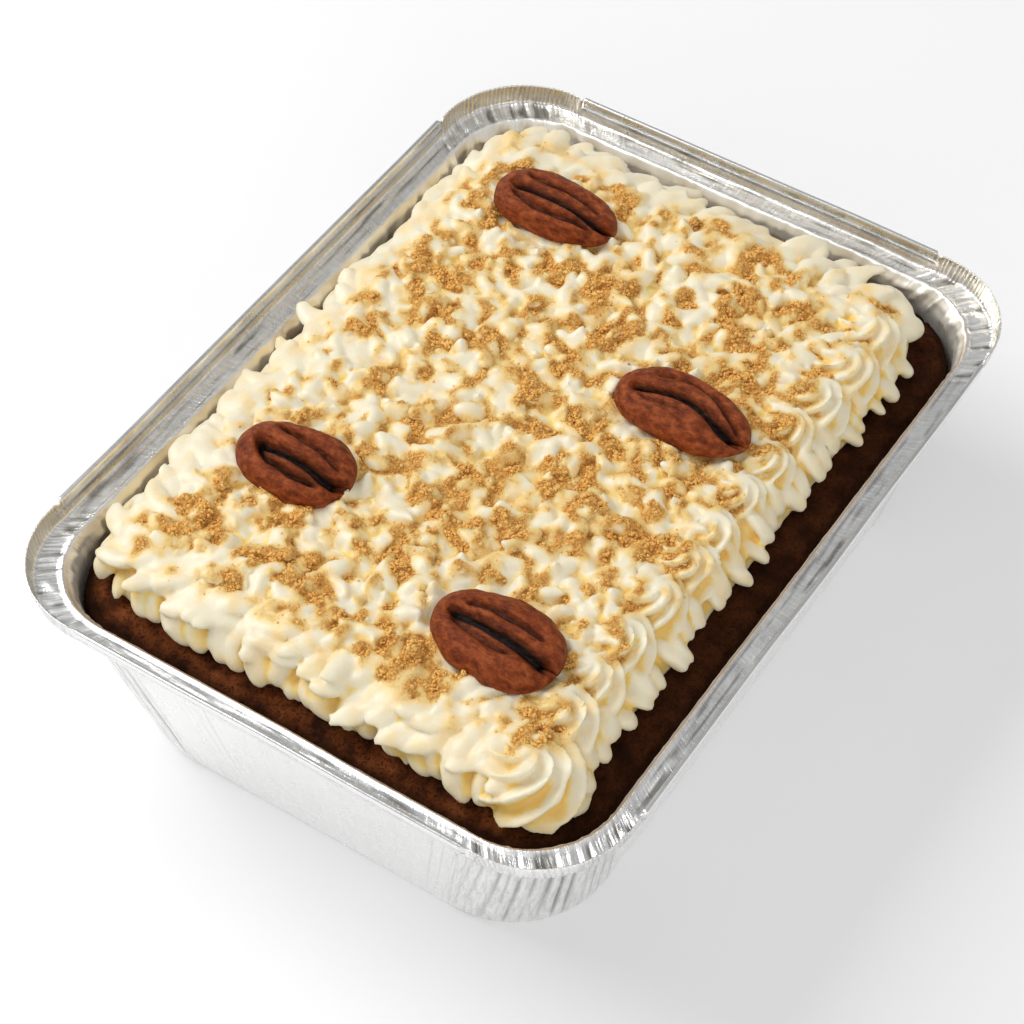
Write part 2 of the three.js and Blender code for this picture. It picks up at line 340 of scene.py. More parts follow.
# Profile from the middle of the base up the outside, over the rim and down the
# inside: inset, height, corner radius, steps to the next row, then the shares
# of rib, pleat, crumple, wrinkle and hem.
trayProfile = [
    (18.0, 0.0, 22.4, 1, 0, 0, 0, 0, 0),
    (16.9, 0.05, 23.2, 1, 0, 0, 0, 0, 0),
    (16.35, 0.5, 23.8, 1, 0.1, 0, 0, 0, 0),
    (15.9, 1.7, 24.0, 2, 0.35, 0, 0, 0, 0),
    (15.3, 4.0, 24.0, 8, 0.6, 0, 0, 0, 0),
    (10.8, 26.0, 22.5, 8, 0.85, 0, 0, 0, 0),
    (7.1, 46.0, 21.0, 3, 1, 0, 0, 0, 0),
    (6.45, 49.4, 20.8, 2, 0.6, 0.3, 0, 0, 0),
    (5.9, 49.8, 20.9, 3, 0.1, 0.6, 0.6, 0, 0),
    (2.1, 49.8, 21.8, 1, 0, 0.8, 0.5, 0, 0),
    (1.5, 50.1, 22.0, 1, 0, 0.9, 0.2, 0, 0),
    (1.2, 50.9, 22.2, 2, 0, 1, 0, 0, 0),
    (0.84, 52.55, 22.5, 1, 0, 1, 0, 0, 0),
    (0.82, 52.65, 22.5, 3, 0, 1, 0, 0, 1),
    (0.36, 54.8, 22.8, 1, 0, 1, 0, 0, 1),
    (0.42, 55.05, 22.7, 1, 0, 1, 0, 0, 0.75),
    (0.56, 55.1, 22.6, 1, 0, 1, 0, 0, 0),
    (0.7, 55.05, 22.5, 1, 0, 1, 0, 0, -0.75),
    (0.76, 54.8, 22.4, 3, 0, 1, 0, 0, -1),
    (1.22, 52.65, 22.1, 1, 0, 1, 0, 0, -1),
    (1.24, 52.5, 22.1, 2, 0, 1, 0, 0, 0),
    (1.6, 50.9, 21.7, 1, 0, 1, 0.3, 0, 0),
    (1.95, 50.35, 21.5, 1, 0, 0.8, 0.7, 0, 0),
    (2.6, 50.2, 21.2, 6, 0, 0.5, 1, 0, 0),
    (5.9, 50.2, 20.4, 1, 0, 0.3, 0.8, 0, 0),
    (6.35, 50.6, 20.3, 1, 0, 0.2, 0.3, 0, 0),
    (6.8, 50.55, 20.1, 1, 0, 0.1, 0.1, 0.2, 0),
    (7.15, 50.05, 20.0, 3, 0.1, 0, 0, 0.4, 0),
    (7.9, 48.7, 19.9, 4, 0.15, 0, 0, 0.9, 0),
    (8.35, 46.6, 19.9, 4, 0.2, 0, 0, 1, 0),
    (8.5, 44.0, 20.1, 4, 0.2, 0, 0, 0.3, 0),
    (8.45, 41.4, 20.4, 3, 0.2, 0, 0, 0, 0),
    (8.7, 39.0, 20.7, 3, 0.3, 0, 0, 0, 0),
    (11.2, 26.0, 21.8, 2, 0.3, 0, 0, 0, 0),
    (15.9, 3.6, 23.3, 1, 0.2, 0, 0, 0, 0),
    (16.8, 1.3, 23.2, 1, 0, 0, 0, 0, 0),
    (18.4, 0.5, 22.0, 0, 0, 0, 0, 0, 0),
]


# Columns round the rim: a corner's arc, then the straight side after it. Each
# has its corner, its angle, whether it is straight, its share of the half side,
# and its distance from the middle of the nearest corner.
def trayColumns():
    s = traySizes
    radius = s["rimRadius"]
    arcHalf = radius * math.pi / 4
    arcSteps = int(2 * arcHalf / s["fineStep"])
    columns = []
    for k in range(4):
        for i in range(arcSteps):
            t = (i + 0.5) / arcSteps
            columns.append((k, math.radians(90 * (k + t)), 0, 0, (t - 0.5) * 2 * arcHalf))
        half = (s["width"] if k % 2 == 0 else s["length"]) / 2 - s["rimInset"] - radius
        fine = s["fineReach"]
        ends = np.arange(0, fine, s["fineStep"])
        middle = np.arange(fine, 2 * half - fine, s["wideStep"])
        for along in np.concatenate([ends, middle, 2 * half - fine + ends]):
            away = arcHalf + min(along, 2 * half - along)
            columns.append((k, math.radians(90 * (k + 1)), 1, 1 - along / half, away))
    return np.array(columns)


# A row of folds, 0 between them and 1 on their ridges.
def foldWave(distance, pitch, sharp):
    part = distance / pitch - np.floor(distance / pitch)
    return (1 - np.abs(2 * part - 1)) ** sharp


def trayMesh():
    s = traySizes
    corner, angle, straight, side, away = trayColumns().T
    inset, rowZ, radius, rib, pleat, crumple, wrinkle, hem = profileRows(trayProfile)
    z = rowZ
    nx, ny = np.cos(angle), np.sin(angle)
    signX, signY = cornerSigns(corner)
    shareX = signX * np.where(straight * (corner % 2 == 0) > 0, side, 1)
    shareY = signY * np.where(straight * (corner % 2 == 1) > 0, side, 1)
    halfX, halfY = s["width"] / 2 - inset - radius, s["length"] / 2 - inset - radius
    x, y = halfX * shareX + radius * nx, halfY * shareY + radius * ny
    reach = np.where(corner % 2 == 0, s["hemHalfShort"], s["hemHalfLong"])
    middleAway = np.abs(side) * np.where(corner % 2 == 0, halfX, halfY)
    hemmed = straight * smoothStep(-0.2, 0.2, reach - middleAway)
    rimX = (s["width"] / 2 - s["rimInset"] - s["rimRadius"]) * shareX + s["rimRadius"] * nx
    rimY = (s["length"] / 2 - s["rimInset"] - s["rimRadius"]) * shareY + s["rimRadius"] * ny
    travel = np.concatenate([[0], np.cumsum(np.hypot(np.diff(rimX), np.diff(rimY)))])
    whole = travel[-1] + math.hypot(rimX[0] - rimX[-1], rimY[0] - rimY[-1])
    flat = np.stack([rimX + 0 * z, rimY + 0 * z, z + 0 * rimX], -1)
    rim = flat[:1] * (1, 1, 0)
    place = np.stack([x, y, z + 0 * x], -1)

    outward = 0.22 * softNoise(place, 26, 5) * smoothStep(30, 52, z)
    lift = 0.14 * softNoise(place, 22, 8) * smoothStep(40, 52, z)
    # fine radial pleats where the rim has no hem
    jitter = 0.5 * softNoise(rim, 2.3, 11)
    fine = foldWave(away + jitter + 0.16 * (z - 50), s["pleatPitch"], 0.8)
    strength = 0.75 + 0.6 * softNoise(flat, (3.1, 3.1, 9), 13)
    pressed = fine * strength * s["pleatDepth"] * (1 - hemmed)
    outward = outward - pressed * pleat
    lift = lift + pressed * pleat * 0.6 * (z < 51)
    # corner folds of the walls, uneven in depth and length
    near = 1 - smoothStep(16, 25, away)
    uneven = 0.6 + 0.55 * softNoise(flat, (2.6, 2.6, 70), 17) + 0.3 * softNoise(flat, (5, 5, 14), 19)
    slant = 0.9 * softNoise(rim, 3.7, 23)
    fold = foldWave(away + slant + 0.04 * (50 - z), s["ribPitch"], 1.15)
    outward = outward + rib * near * (0.42 - fold * np.clip(uneven, 0.1, 1.1) * s["ribDepth"])
    waves = round(whole / s["flutePitch"])
    flute = np.sin(2 * np.pi * (waves * travel / whole + 0.2 * slant))
    outward = outward + rib * (1 - near) * flute * s["fluteDepth"] * (1 + softNoise(flat, (17, 17, 30), 29))
    outward = outward + rib * (1 - near) * 0.25 * softNoise(flat, (34, 34, 24), 31)
    # ledge: radial creases and dents in the corners, long soft ripples on the sides
    across = np.stack([rimX + 0 * z, rimY + 0 * z, inset + 0 * rimX], -1)
    radial = softNoise(across, (1.3, 1.3, 4.5), 37) + 0.6 * softNoise(across, (2.8, 2.8, 2.2), 39)
    dents = 1 - 2 * np.abs(softNoise(place, (3.4, 3.4, 40), 41))
    rough = 0.14 + 0.86 * (1 - smoothStep(18, 26, away))
    lift = lift + crumple * rough * s["crumple"] * (0.6 * radial + 0.5 * dents)
    ripples = softNoise(across, (11, 11, 0.75), 43) + 0.5 * softNoise(across, (4, 4, 0.5), 45)
    lift = lift + crumple * (1 - rough) * s["ripple"] * ripples
    # folds of the inner wall, which only ever stand inward
    bent = rim + 1.6 * np.stack([softNoise(flat, (7, 7, 5), 60), softNoise(flat, (7, 7, 5), 61), 0 * x], -1)
    bent = bent + (flat - rim) * 0.6
    folds = 1 - 1.8 * np.abs(softNoise(bent, (3.6, 3.6, 4.2), 47))
    folds = folds + 0.5 * softNoise(bent, (1.6, 1.6, 2.2), 53)
    rear = smoothStep(-0.5, 0.4, 0.84 * ny - 0.55 * nx)    # the back and left sides fold more
    folded = np.clip(folds, 0, 1.3) * (0.6 + 0.4 * near) * (0.2 + 0.8 * rear)
    outward = outward - wrinkle * s["wrinkle"] * folded
    # hem, and the pinch beside each of its ends
    outward = outward + hem * hemmed * s["hemStep"]
    lift = lift + hemmed * s["hemLift"] * smoothStep(52.6, 54.5, z)
    pinch = straight * np.exp(-((middleAway - reach - 0.9) / 0.5) ** 2) * smoothStep(51, 53, z)
    outward, lift = outward - 0.35 * pinch, lift - 0.5 * pinch
    # painted shade: how dark each fold and crease is drawn, darker where their shade falls, with a painted
    # shadow along the hem's rolled top
    dark = 1.4 * rib * near * fold ** 2 * np.clip(uneven, 0, 1.2)
    dark = dark + pleat * (1 - hemmed) * fine ** 3 * 0.55 * strength
    dark = dark + crumple * rough * np.clip(-1.5 * radial - 0.4 * dents, 0, 1)
    dark = dark + crumple * (1 - rough) * np.clip(1.5 * ripples - 0.1, 0, 1)
    dark = dark + rib * (1 - near) * 0.2 * np.clip(flute, 0, 1) ** 3 * (1 + softNoise(flat, (9, 9, 40), 57))
    dark = dark + hemmed * 0.3 * smoothStep(54.9, 55.04, rowZ)
    dark = dark + wrinkle * 0.35 * np.clip(0.35 - folds, 0, 1)
    x, y, z = x + outward * nx, y + outward * ny, z + lift
    z = np.clip(z, 0, 55.4)
    mesh = skinned("foilTray", np.stack([x, y, z], -1) * mm, (0, 0, 0), (0, 0, 0.5 * mm))
    down = np.concatenate([[0], np.cumsum(np.hypot(np.diff(inset[:, 0]), np.diff(rowZ[:, 0])))])
    # the distance along the rim is drawn as a circle, so that it has no seam
    ring = whole / (2 * np.pi)
    turn = 2 * np.pi * travel / whole
    within = np.arange(len(rowZ))[:, None] > np.argmax(rowZ)
    # painted reflection: the inner wall is drawn pale and warm, and less metallic, for the cream and light
    # that it reflects
    film = smoothStep(6.6, 7.1, inset) * within
    # painted reflection: the flange's inner face is drawn tan, as the cream that it reflects
    flange = within * smoothStep(50.6, 51.2, rowZ) * (1 - smoothStep(52.4, 52.6, rowZ) * hemmed)
    mouth = within * np.exp(-((inset - 7.0) / 0.25) ** 2) * (1 - rear)
    marks = {"mouth": mouth, "corner": near, "ledge": crumple > 0.05, "rimX": ring * np.cos(turn),
             "rimY": ring * np.sin(turn), "down": down[:, None], "film": film, "flange": flange,
             "crease": dark}
    for name, value in marks.items():
        pointValue(mesh, name, np.append((value + 0 * z).ravel(), [0.0, 0.0]))
    shadeSmooth(mesh)
    return mesh


foilLook = {
    "bright": (0.95, 0.95, 0.945),
    "dull": (0.74, 0.74, 0.73),
    # painted reflection on the inner wall
    "film": (0.95, 0.92, 0.84),
    # painted reflection of the cream on the flange
    "flange": (0.82, 0.74, 0.60),
    # painted shade of the folds and creases
    "crease": (0.30, 0.29, 0.27),
    "mouth": (0.55, 0.27, 0.08),
    "roughness": (0.2, 0.36),
}


def foilMaterial():
    look = foilLook
    material, tree, shader, coords = newMaterial("pressedFoil", {})
    along = addNode(tree, "ShaderNodeCombineXYZ")
    for axis, name in (("X", "rimX"), ("Y", "rimY"), ("Z", "down")):
        link(tree, attributeValue(tree, name), along.inputs[axis])
    # creases run across the rim at the corners and mostly along it on the ledges
    across, lengthwise = (noiseValue(tree, stretched(tree, along.outputs[0], scale), 1.0, 5, 0.62)
                          for scale in ((1.3, 1.3, 0.16), (0.2, 0.2, 1.1)))
    flat = plusShare(tree, 0.48, across, 0.15)
    crossed = plusShare(tree, mathNode(tree, "MULTIPLY", lengthwise, 0.5), across, 0.5)
    sides = mixValue(tree, attributeValue(tree, "ledge"), flat, crossed)
    streaks = mixValue(tree, attributeValue(tree, "corner"), sides, across)
    metal = mixColour(tree, greyRamp(tree, streaks, 0.36, 0.58), look["dull"], look["bright"])
    # the flange and the inner wall get painted reflections of the cream; the mouth gets its orange line
    for name, most in (("flange", 0.75), ("film", 1.0), ("mouth", 0.95)):
        share = mathNode(tree, "MULTIPLY", attributeValue(tree, name), most)
        metal = mixColour(tree, share, metal, look[name])
    # painted shade: the foil is drawn darker in its folds, pleats and creases
    crease = greyRamp(tree, attributeValue(tree, "crease"), 0.1, 0.9)
    link(tree, mixColour(tree, crease, metal, look["crease"]), shader.inputs["Base Color"])
    # the inner wall's painted reflection is less metallic and a little rougher
    film = attributeValue(tree, "film")
    link(tree, plusShare(tree, 1.0, film, -0.45), shader.inputs["Metallic"])
    rough = greyRamp(tree, noiseValue(tree, coords, 130, 4, 0.6), 0.3, 0.7, *look["roughness"])
    link(tree, plusShare(tree, rough, film, 0.1), shader.inputs["Roughness"])
    dents = bump(tree, noiseValue(tree, coords, 240, 3, 0.55), 0.1, 0.0006)
    fine = bump(tree, noiseValue(tree, coords, 900, 4, 0.6), 0.12, 0.00018, dents)
    link(tree, bump(tree, streaks, 0.7, 0.0003, fine), shader.inputs["Normal"])
    return material


# The sponge, in millimetres: inset, height, corner radius, steps, roughness.
spongeProfile = [
    (18.5, 1.2, 21.0, 1, 0),
    (16.4, 2.6, 23.0, 4, 0),
    (11.6, 26.0, 22.0, 6, 0.3),
    (9.5, 36.5, 21.0, 9, 0.6),
    (9.0, 40.6, 20.5, 9, 1),
    (9.6, 43.2, 19.8, 9, 1),
    (11.6, 44.9, 18.5, 9, 1),
    (15.5, 45.75, 16.5, 10, 1),
    (22.0, 46.0, 13.0, 4, 0.6),
    (34.0, 45.9, 10.0, 0, 0.2),
]
spongeSizes = {
    "columnStep": 0.62,
    "crag": 0.42,
    "pore": 0.5,
    "leastGap": 0.25,         # room left to the foil
}


def spongeMesh():
    s = spongeSizes
    inset, z, radius, rough = profileRows(spongeProfile)
    halfX, halfY = traySizes["width"] / 2 - inset - radius, traySizes["length"] / 2 - inset - radius
    columns = []
    arcSteps = int(20 * math.pi / 2 / s["columnStep"])
    for k in range(4):
        for i in range(arcSteps):
            columns.append((k, math.radians(90 * (k + i / arcSteps)), 1))
        steps = int((88 if k % 2 == 0 else 138) / s["columnStep"])
        for i in range(steps):
            columns.append((k, math.radians(90 * (k + 1)), 1 - 2 * i / steps))
    corner, angle, side = np.array(columns).T
    nx, ny = np.cos(angle), np.sin(angle)
    signX, signY = cornerSigns(corner)
    x = halfX * signX * np.where(corner % 2 == 0, side, 1) + radius * nx
    y = halfY * signY * np.where(corner % 2 == 1, side, 1) + radius * ny
    x, y, z = x + 0 * inset, y + 0 * inset, z + 0 * x
    place = np.stack([x, y, z], -1)
    crag = 0.55 * softNoise(place, 5.2, 3) + 0.5 * softNoise(place, 2.1, 5) + 0.3 * softNoise(place, 1.05, 7)
    pit = smoothStep(0.42, 0.8, softNoise(place, 1.7, 9))
    pit = pit + 0.7 * smoothStep(0.4, 0.8, softNoise(place, 0.9, 11))
    depth = rough * (crag * s["crag"] - pit * s["pore"])
    wallShare = 1 - smoothStep(40, 45.6, z)
    outward = np.minimum(depth * (0.25 + 0.75 * wallShare), s["leastGap"])
    x, y = x + outward * nx, y + outward * ny
    z = np.minimum(z + depth * (1 - 0.8 * wallShare), 46.25)
    mesh = skinned("sponge", np.stack([x, y, z], -1) * mm, (0, 0, 1.0 * mm), (0, 0, 45.9 * mm))
    # painted shade: the sponge is drawn darker lower down and towards the foil
    moist = 1 - smoothStep(42.8, 45.9, z) * smoothStep(9, 14, inset + 0 * z)
    moist = np.maximum(moist, 0.8 * smoothStep(0.3, 0.95, nx + 0 * z))    # painted shade on the right, where the sponge lies in the frosting's shadow
    pointValue(mesh, "moist", np.append(moist.ravel(), [1.0, 0.0]))
    return mesh


spongeLook = {
    "crumb": (0.105, 0.027, 0.006),
    "warm": (0.190, 0.053, 0.015),
    "dark": (0.022, 0.006, 0.002),
    # colour of the painted shade
    "moist": (0.017, 0.005, 0.0015),
}


def spongeMaterial():
    look = spongeLook
    constants = {"Roughness": 0.82, "Specular IOR Level": 0.08}
    material, tree, shader, coords = newMaterial("darkSponge", constants)
    patches = noiseValue(tree, coords, 190, 4, 0.6)
    body = colourRamp(tree, patches, [(0.34, look["dark"]), (0.5, look["crumb"]), (0.68, look["warm"])])
    grain = noiseValue(tree, coords, 1500, 4, 0.7)
    crumb = mixColour(tree, greyRamp(tree, grain, 0.35, 0.5), look["dark"], body)
    # painted shade mixed into the sponge's colour
    moist = greyRamp(tree, attributeValue(tree, "moist"), 0.2, 0.95, 0, 0.88)
    link(tree, mixColour(tree, moist, crumb, look["moist"]), shader.inputs["Base Color"])
    coarse = bump(tree, noiseValue(tree, coords, 650, 5, 0.65), 0.8, 0.0006)
    link(tree, bump(tree, grain, 0.5, 0.0002, coarse), shader.inputs["Normal"])
    return material


# Pecan halves, in millimetres and degrees. A groove is its path, as shares of
# the half length and half width, then its depth and its width.
pecanPlaces = {
    "pecan_1": {
        "at": (-30.8, 58.0), "long": 31.6, "wide": 18.0, "taper": 0.08, "turn": 2, "nod": 2, "lean": -3,
        "grooves": [
            ([(-0.62, 0.33), (-0.2, 0.27), (0.1, 0.28), (0.41, 0.23), (0.8, 0.12)], 1.7, 0.075),
            ([(-0.76, -0.16), (-0.2, -0.15), (0.3, -0.18), (0.67, -0.3), (1.02, -0.48)], 2.3, 0.085),
            ([(-0.68, -0.42), (-0.23, -0.6), (0.39, -0.58), (0.8, -0.64)], 1.5, 0.07),
        ],
    },
    "pecan_2": {
        "at": (27.7, 19.0), "long": 34.2, "wide": 18.4, "taper": 0.07, "turn": -5, "nod": -3, "lean": -2,
        "grooves": [
            ([(-0.62, 0.38), (-0.11, 0.6), (0.3, 0.56), (0.6, 0.3), (0.98, -0.1)], 1.5, 0.075),
            ([(-0.78, -0.33), (-0.22, 0.03), (0.1, 0.1), (0.5, -0.14), (1.02, -0.5)], 2.7, 0.11),
            ([(-0.6, -0.5), (-0.1, -0.36), (0.24, -0.3)], 1.1, 0.07),
        ],
    },
    "pecan_3": {
        "at": (-35.2, -39.8), "long": 28.0, "wide": 18.8, "taper": -0.12, "turn": 5, "nod": 2, "lean": 4,
        "grooves": [
            ([(-0.5, 0.6), (0.0, 0.45), (0.4, 0.3), (0.88, 0.09)], 1.7, 0.075),
            ([(-0.7, 0.0), (-0.45, -0.12), (0.2, -0.14), (0.6, -0.28), (1.02, -0.5)], 2.6, 0.1),
            ([(-0.66, -0.14), (-0.36, -0.45), (0.2, -0.53), (0.68, -0.56)], 1.9, 0.08),
        ],
    },
    "pecan_4": {
        "at": (28.2, -56.2), "long": 31.1, "wide": 20.0, "taper": -0.09, "turn": -4, "nod": -2, "lean": 3,
        "grooves": [
            ([(-0.67, 0.24), (-0.3, 0.36), (0.3, 0.35), (0.76, 0.4)], 1.6, 0.075),
            ([(-0.8, -0.15), (-0.3, -0.07), (0.42, -0.07), (1.02, -0.22)], 2.5, 0.1),
            ([(-0.7, -0.3), (-0.1, -0.4), (0.2, -0.39), (0.52, -0.31)], 1.2, 0.08),
        ],
    },
}
pecanSizes = {
    "seat": 57.6,
    "thick": 8.2,
    "stations": 120,
    "around": 112,
    "pitting": 0.13,
    "folds": 0.45,
    "grooveWidth": 1.05,
    "grooveDepth": 1.65,
    "notch": 3.4,             # bite of the main groove at the tip
}


# A pecan half: rings from tip to tip, domed above and nearly flat below.
def pecanMesh(node, seed):
    spec, s = pecanPlaces[node], pecanSizes
    k = np.arange(1, s["stations"]) / s["stations"]
    u = -np.cos(np.pi * k)[:, None]
    turn = 2 * np.pi * np.arange(s["around"]) / s["around"]
    crown = np.sin(turn) > 0
    v = np.sign(np.cos(turn)) * np.abs(np.cos(turn)) ** 0.86 + 0 * u
    rounding = np.sqrt(np.maximum(0, 1 - np.abs(u) ** 2.5))
    thick = s["thick"] * rounding ** 0.8
    alongOnly = np.concatenate([u * 4, 0 * u, 0 * u], -1)[:, None, :]
    lobes = 1 + 0.03 * softNoise(alongOnly + (v[..., None] > 0), 1, seed)
    half = spec["wide"] / 2 * rounding * (1 - spec["taper"] * u) * lobes
    up = np.abs(np.sin(turn))
    z = np.where(crown, 0.75 * up ** 0.86, -0.25 * up ** 0.5) * thick
    depth, cleft = np.zeros_like(z), np.zeros_like(z)
    for path, deep, wide in spec["grooves"]:
        at, across = np.array(path).T
        middle = np.interp(u, at, across)
        middle = (middle + np.interp(u - 0.09, at, across) + np.interp(u + 0.09, at, across)) / 3
        middle = middle + 0.007 * np.sin(u * 13 + seed)
        fade = smoothStep(at[-1] - 0.22, at[-1] + 0.02, u) * (at[-1] < 1)
        ends = smoothStep(at[0] - 0.02, at[0] + 0.16, u) * (1 - fade)
        opening = 1 + 0.9 * smoothStep(0.3, 1, u) * (at[-1] > 1)
        off = np.abs(v - middle) / (wide * s["grooveWidth"] * opening)
        section = 0.75 * np.exp(-off ** 1.7) + 0.25 * np.exp(-(off / 2.4) ** 2)
        depth += ends * deep * s["grooveDepth"] * section
        if at[-1] > 1:
            cleft = np.maximum(cleft, np.exp(-(off / 1.1) ** 2) * smoothStep(0.7, 1, u))
    depth = np.minimum(depth, 0.8 * thick) * crown
    deepest = depth / (depth.max() + 1e-6)
    along = u * spec["long"] / 2 - cleft * s["notch"]
    x, y, z = along + 0 * v, half * v, z - depth
    place = np.stack([x, y, z + 20 * seed], -1)
    skin = 0.5 * softNoise(place, (4, 1.6, 2), 3) + 0.5 * softNoise(place, 0.9, 5)
    skin = skin + 0.35 * softNoise(place, 0.45, 7)
    folds = softNoise(place, (6.5, 2.4, 4), 9) + 0.35 * softNoise(place, (4, 1.1, 2), 11)
    swell = (s["pitting"] * skin + s["folds"] * folds) * np.sqrt(rounding)
    points = np.stack([x, y + swell * v, z + swell * np.where(crown, up, 0)], -1)
    tips = np.array([[-spec["long"] / 2, 0, 0.6], [spec["long"] / 2 - 0.6, 0, 0.2]])
    tilt = np.array(Euler([math.radians(spec[name]) for name in ("lean", "nod", "turn")]).to_matrix())
    centre = np.array([*spec["at"], s["seat"] + 0.25 * s["thick"]])
    points = points @ tilt.T + centre
    tips = tips @ tilt.T + centre
    mesh = skinned("pecanHalf", points * mm, tips[0] * mm, tips[1] * mm)
    # painted shade: the grooves are drawn darker by their depth
    pointValue(mesh, "groove", np.append(deepest.ravel(), [0.3, 0.3]))
    shadeSmooth(mesh)
    return mesh


pecanLook = {
    "dark": (0.080, 0.014, 0.003),
    "skin": (0.205, 0.037, 0.007),
    "lit": (0.430, 0.110, 0.028),
    # colour of the painted shade in the grooves
    "groove": (0.006, 0.0015, 0.0005),
}


def pecanMaterial():
    look = pecanLook
    material, tree, shader, coords = newMaterial("pecanSkin", {"Roughness": 0.5, "Specular IOR Level": 0.16})
    mottle = noiseValue(tree, stretched(tree, coords, (0.62, 1.0, 1.0)), 620, 5, 0.66)
    body = colourRamp(tree, mottle, [(0.3, look["dark"]), (0.48, look["skin"]), (0.76, look["lit"])])
    # painted shade: the grooves are drawn near black
    shade = greyRamp(tree, attributeValue(tree, "groove"), 0.2, 0.7)
    link(tree, mixColour(tree, shade, body, look["groove"]), shader.inputs["Base Color"])
    fine = noiseValue(tree, coords, 1900, 4, 0.65)
    first = bump(tree, mottle, 0.85, 0.0008)
    link(tree, bump(tree, fine, 0.35, 0.00015, first), shader.inputs["Normal"])
    return material


# Cream frosting: paler on the crests, with painted shade, darker and warmer, in the hollows and creases, and
# warmer where sugar lies.
creamLook = {
    "crest": (0.87, 0.80, 0.61),
    "slope": (0.90, 0.73, 0.28),
    # colour of the painted shade in the hollows
    "hollow": (0.88, 0.59, 0.125),
    "dusting": (0.89, 0.62, 0.22),
    "sugar": (0.81, 0.44, 0.10),
    "dark": (0.53, 0.23, 0.04),
}


def frostingMaterial():
    look = creamLook
    material, tree, shader, coords = newMaterial("creamFrosting", {
        "Roughness": 0.42, "Subsurface Weight": 0.3, "Subsurface Scale": 1.0,
        "Subsurface Radius": (0.0024, 0.0019, 0.0010)})
    hollow, sugar = attributeValue(tree, "hollow"), attributeValue(tree, "sugar")
    # painted shade: darker, warmer cream down in the hollows and creases
    body = colourRamp(tree, hollow, [(0.36, look["crest"]), (0.56, look["slope"]), (0.8, look["hollow"])])
    grain = noiseValue(tree, coords, 1500, 4, 0.75)
    edge = plusShare(tree, sugar, mathNode(tree, "SUBTRACT", grain, 0.5), 0.35)
    dusted = mixColour(tree, greyRamp(tree, edge, 0.0, 0.38, 0, 0.94), body, look["dusting"])
    clumped = mixColour(tree, greyRamp(tree, edge, 0.46, 0.62), dusted, look["sugar"])
    specks = mathNode(tree, "MULTIPLY", greyRamp(tree, edge, 0.55, 0.75), greyRamp(tree, grain, 0.5, 0.36))
    link(tree, mixColour(tree, specks, clumped, look["dark"]), shader.inputs["Base Color"])
    soft = bump(tree, noiseValue(tree, coords, 380, 3, 0.5), 0.15, 0.0006)
    gritty = mathNode(tree, "MULTIPLY", grain, greyRamp(tree, edge, 0.35, 0.7))
    link(tree, bump(tree, gritty, 0.9, 0.0006, soft), shader.inputs["Normal"])
    return material


# Frosting, in millimetres.
frostingSizes = {
    "base": 46.3,
    "left": -54.8,
    "right": 50.6,
    "front": -76.0,
    "back": 77.2,
    "corner": 9.0,
    "swirlTop": 60.6,
    "lobeStep": 5.5,
    "petalStep": 4.4,
    "rosettes": 13,
    "middleStep": 4.3,
    "sugarLift": 0.6,         # how far clumps of sugar stand out
    "voxel": 0.46,
    "faceLimit": 196000,
    "seed": 19,
}

# Shapes that the nozzle leaves, kind by kind. A swirl has its ridges, their sweep
# in degrees, how deep they are scooped and its dome's power.
swirlShapes = [(4, 210, 0.30, 0.52), (5, 185, 0.30, 0.50), (7, 160, 0.26, 0.50), (6, 165, 0.27, 0.52)]
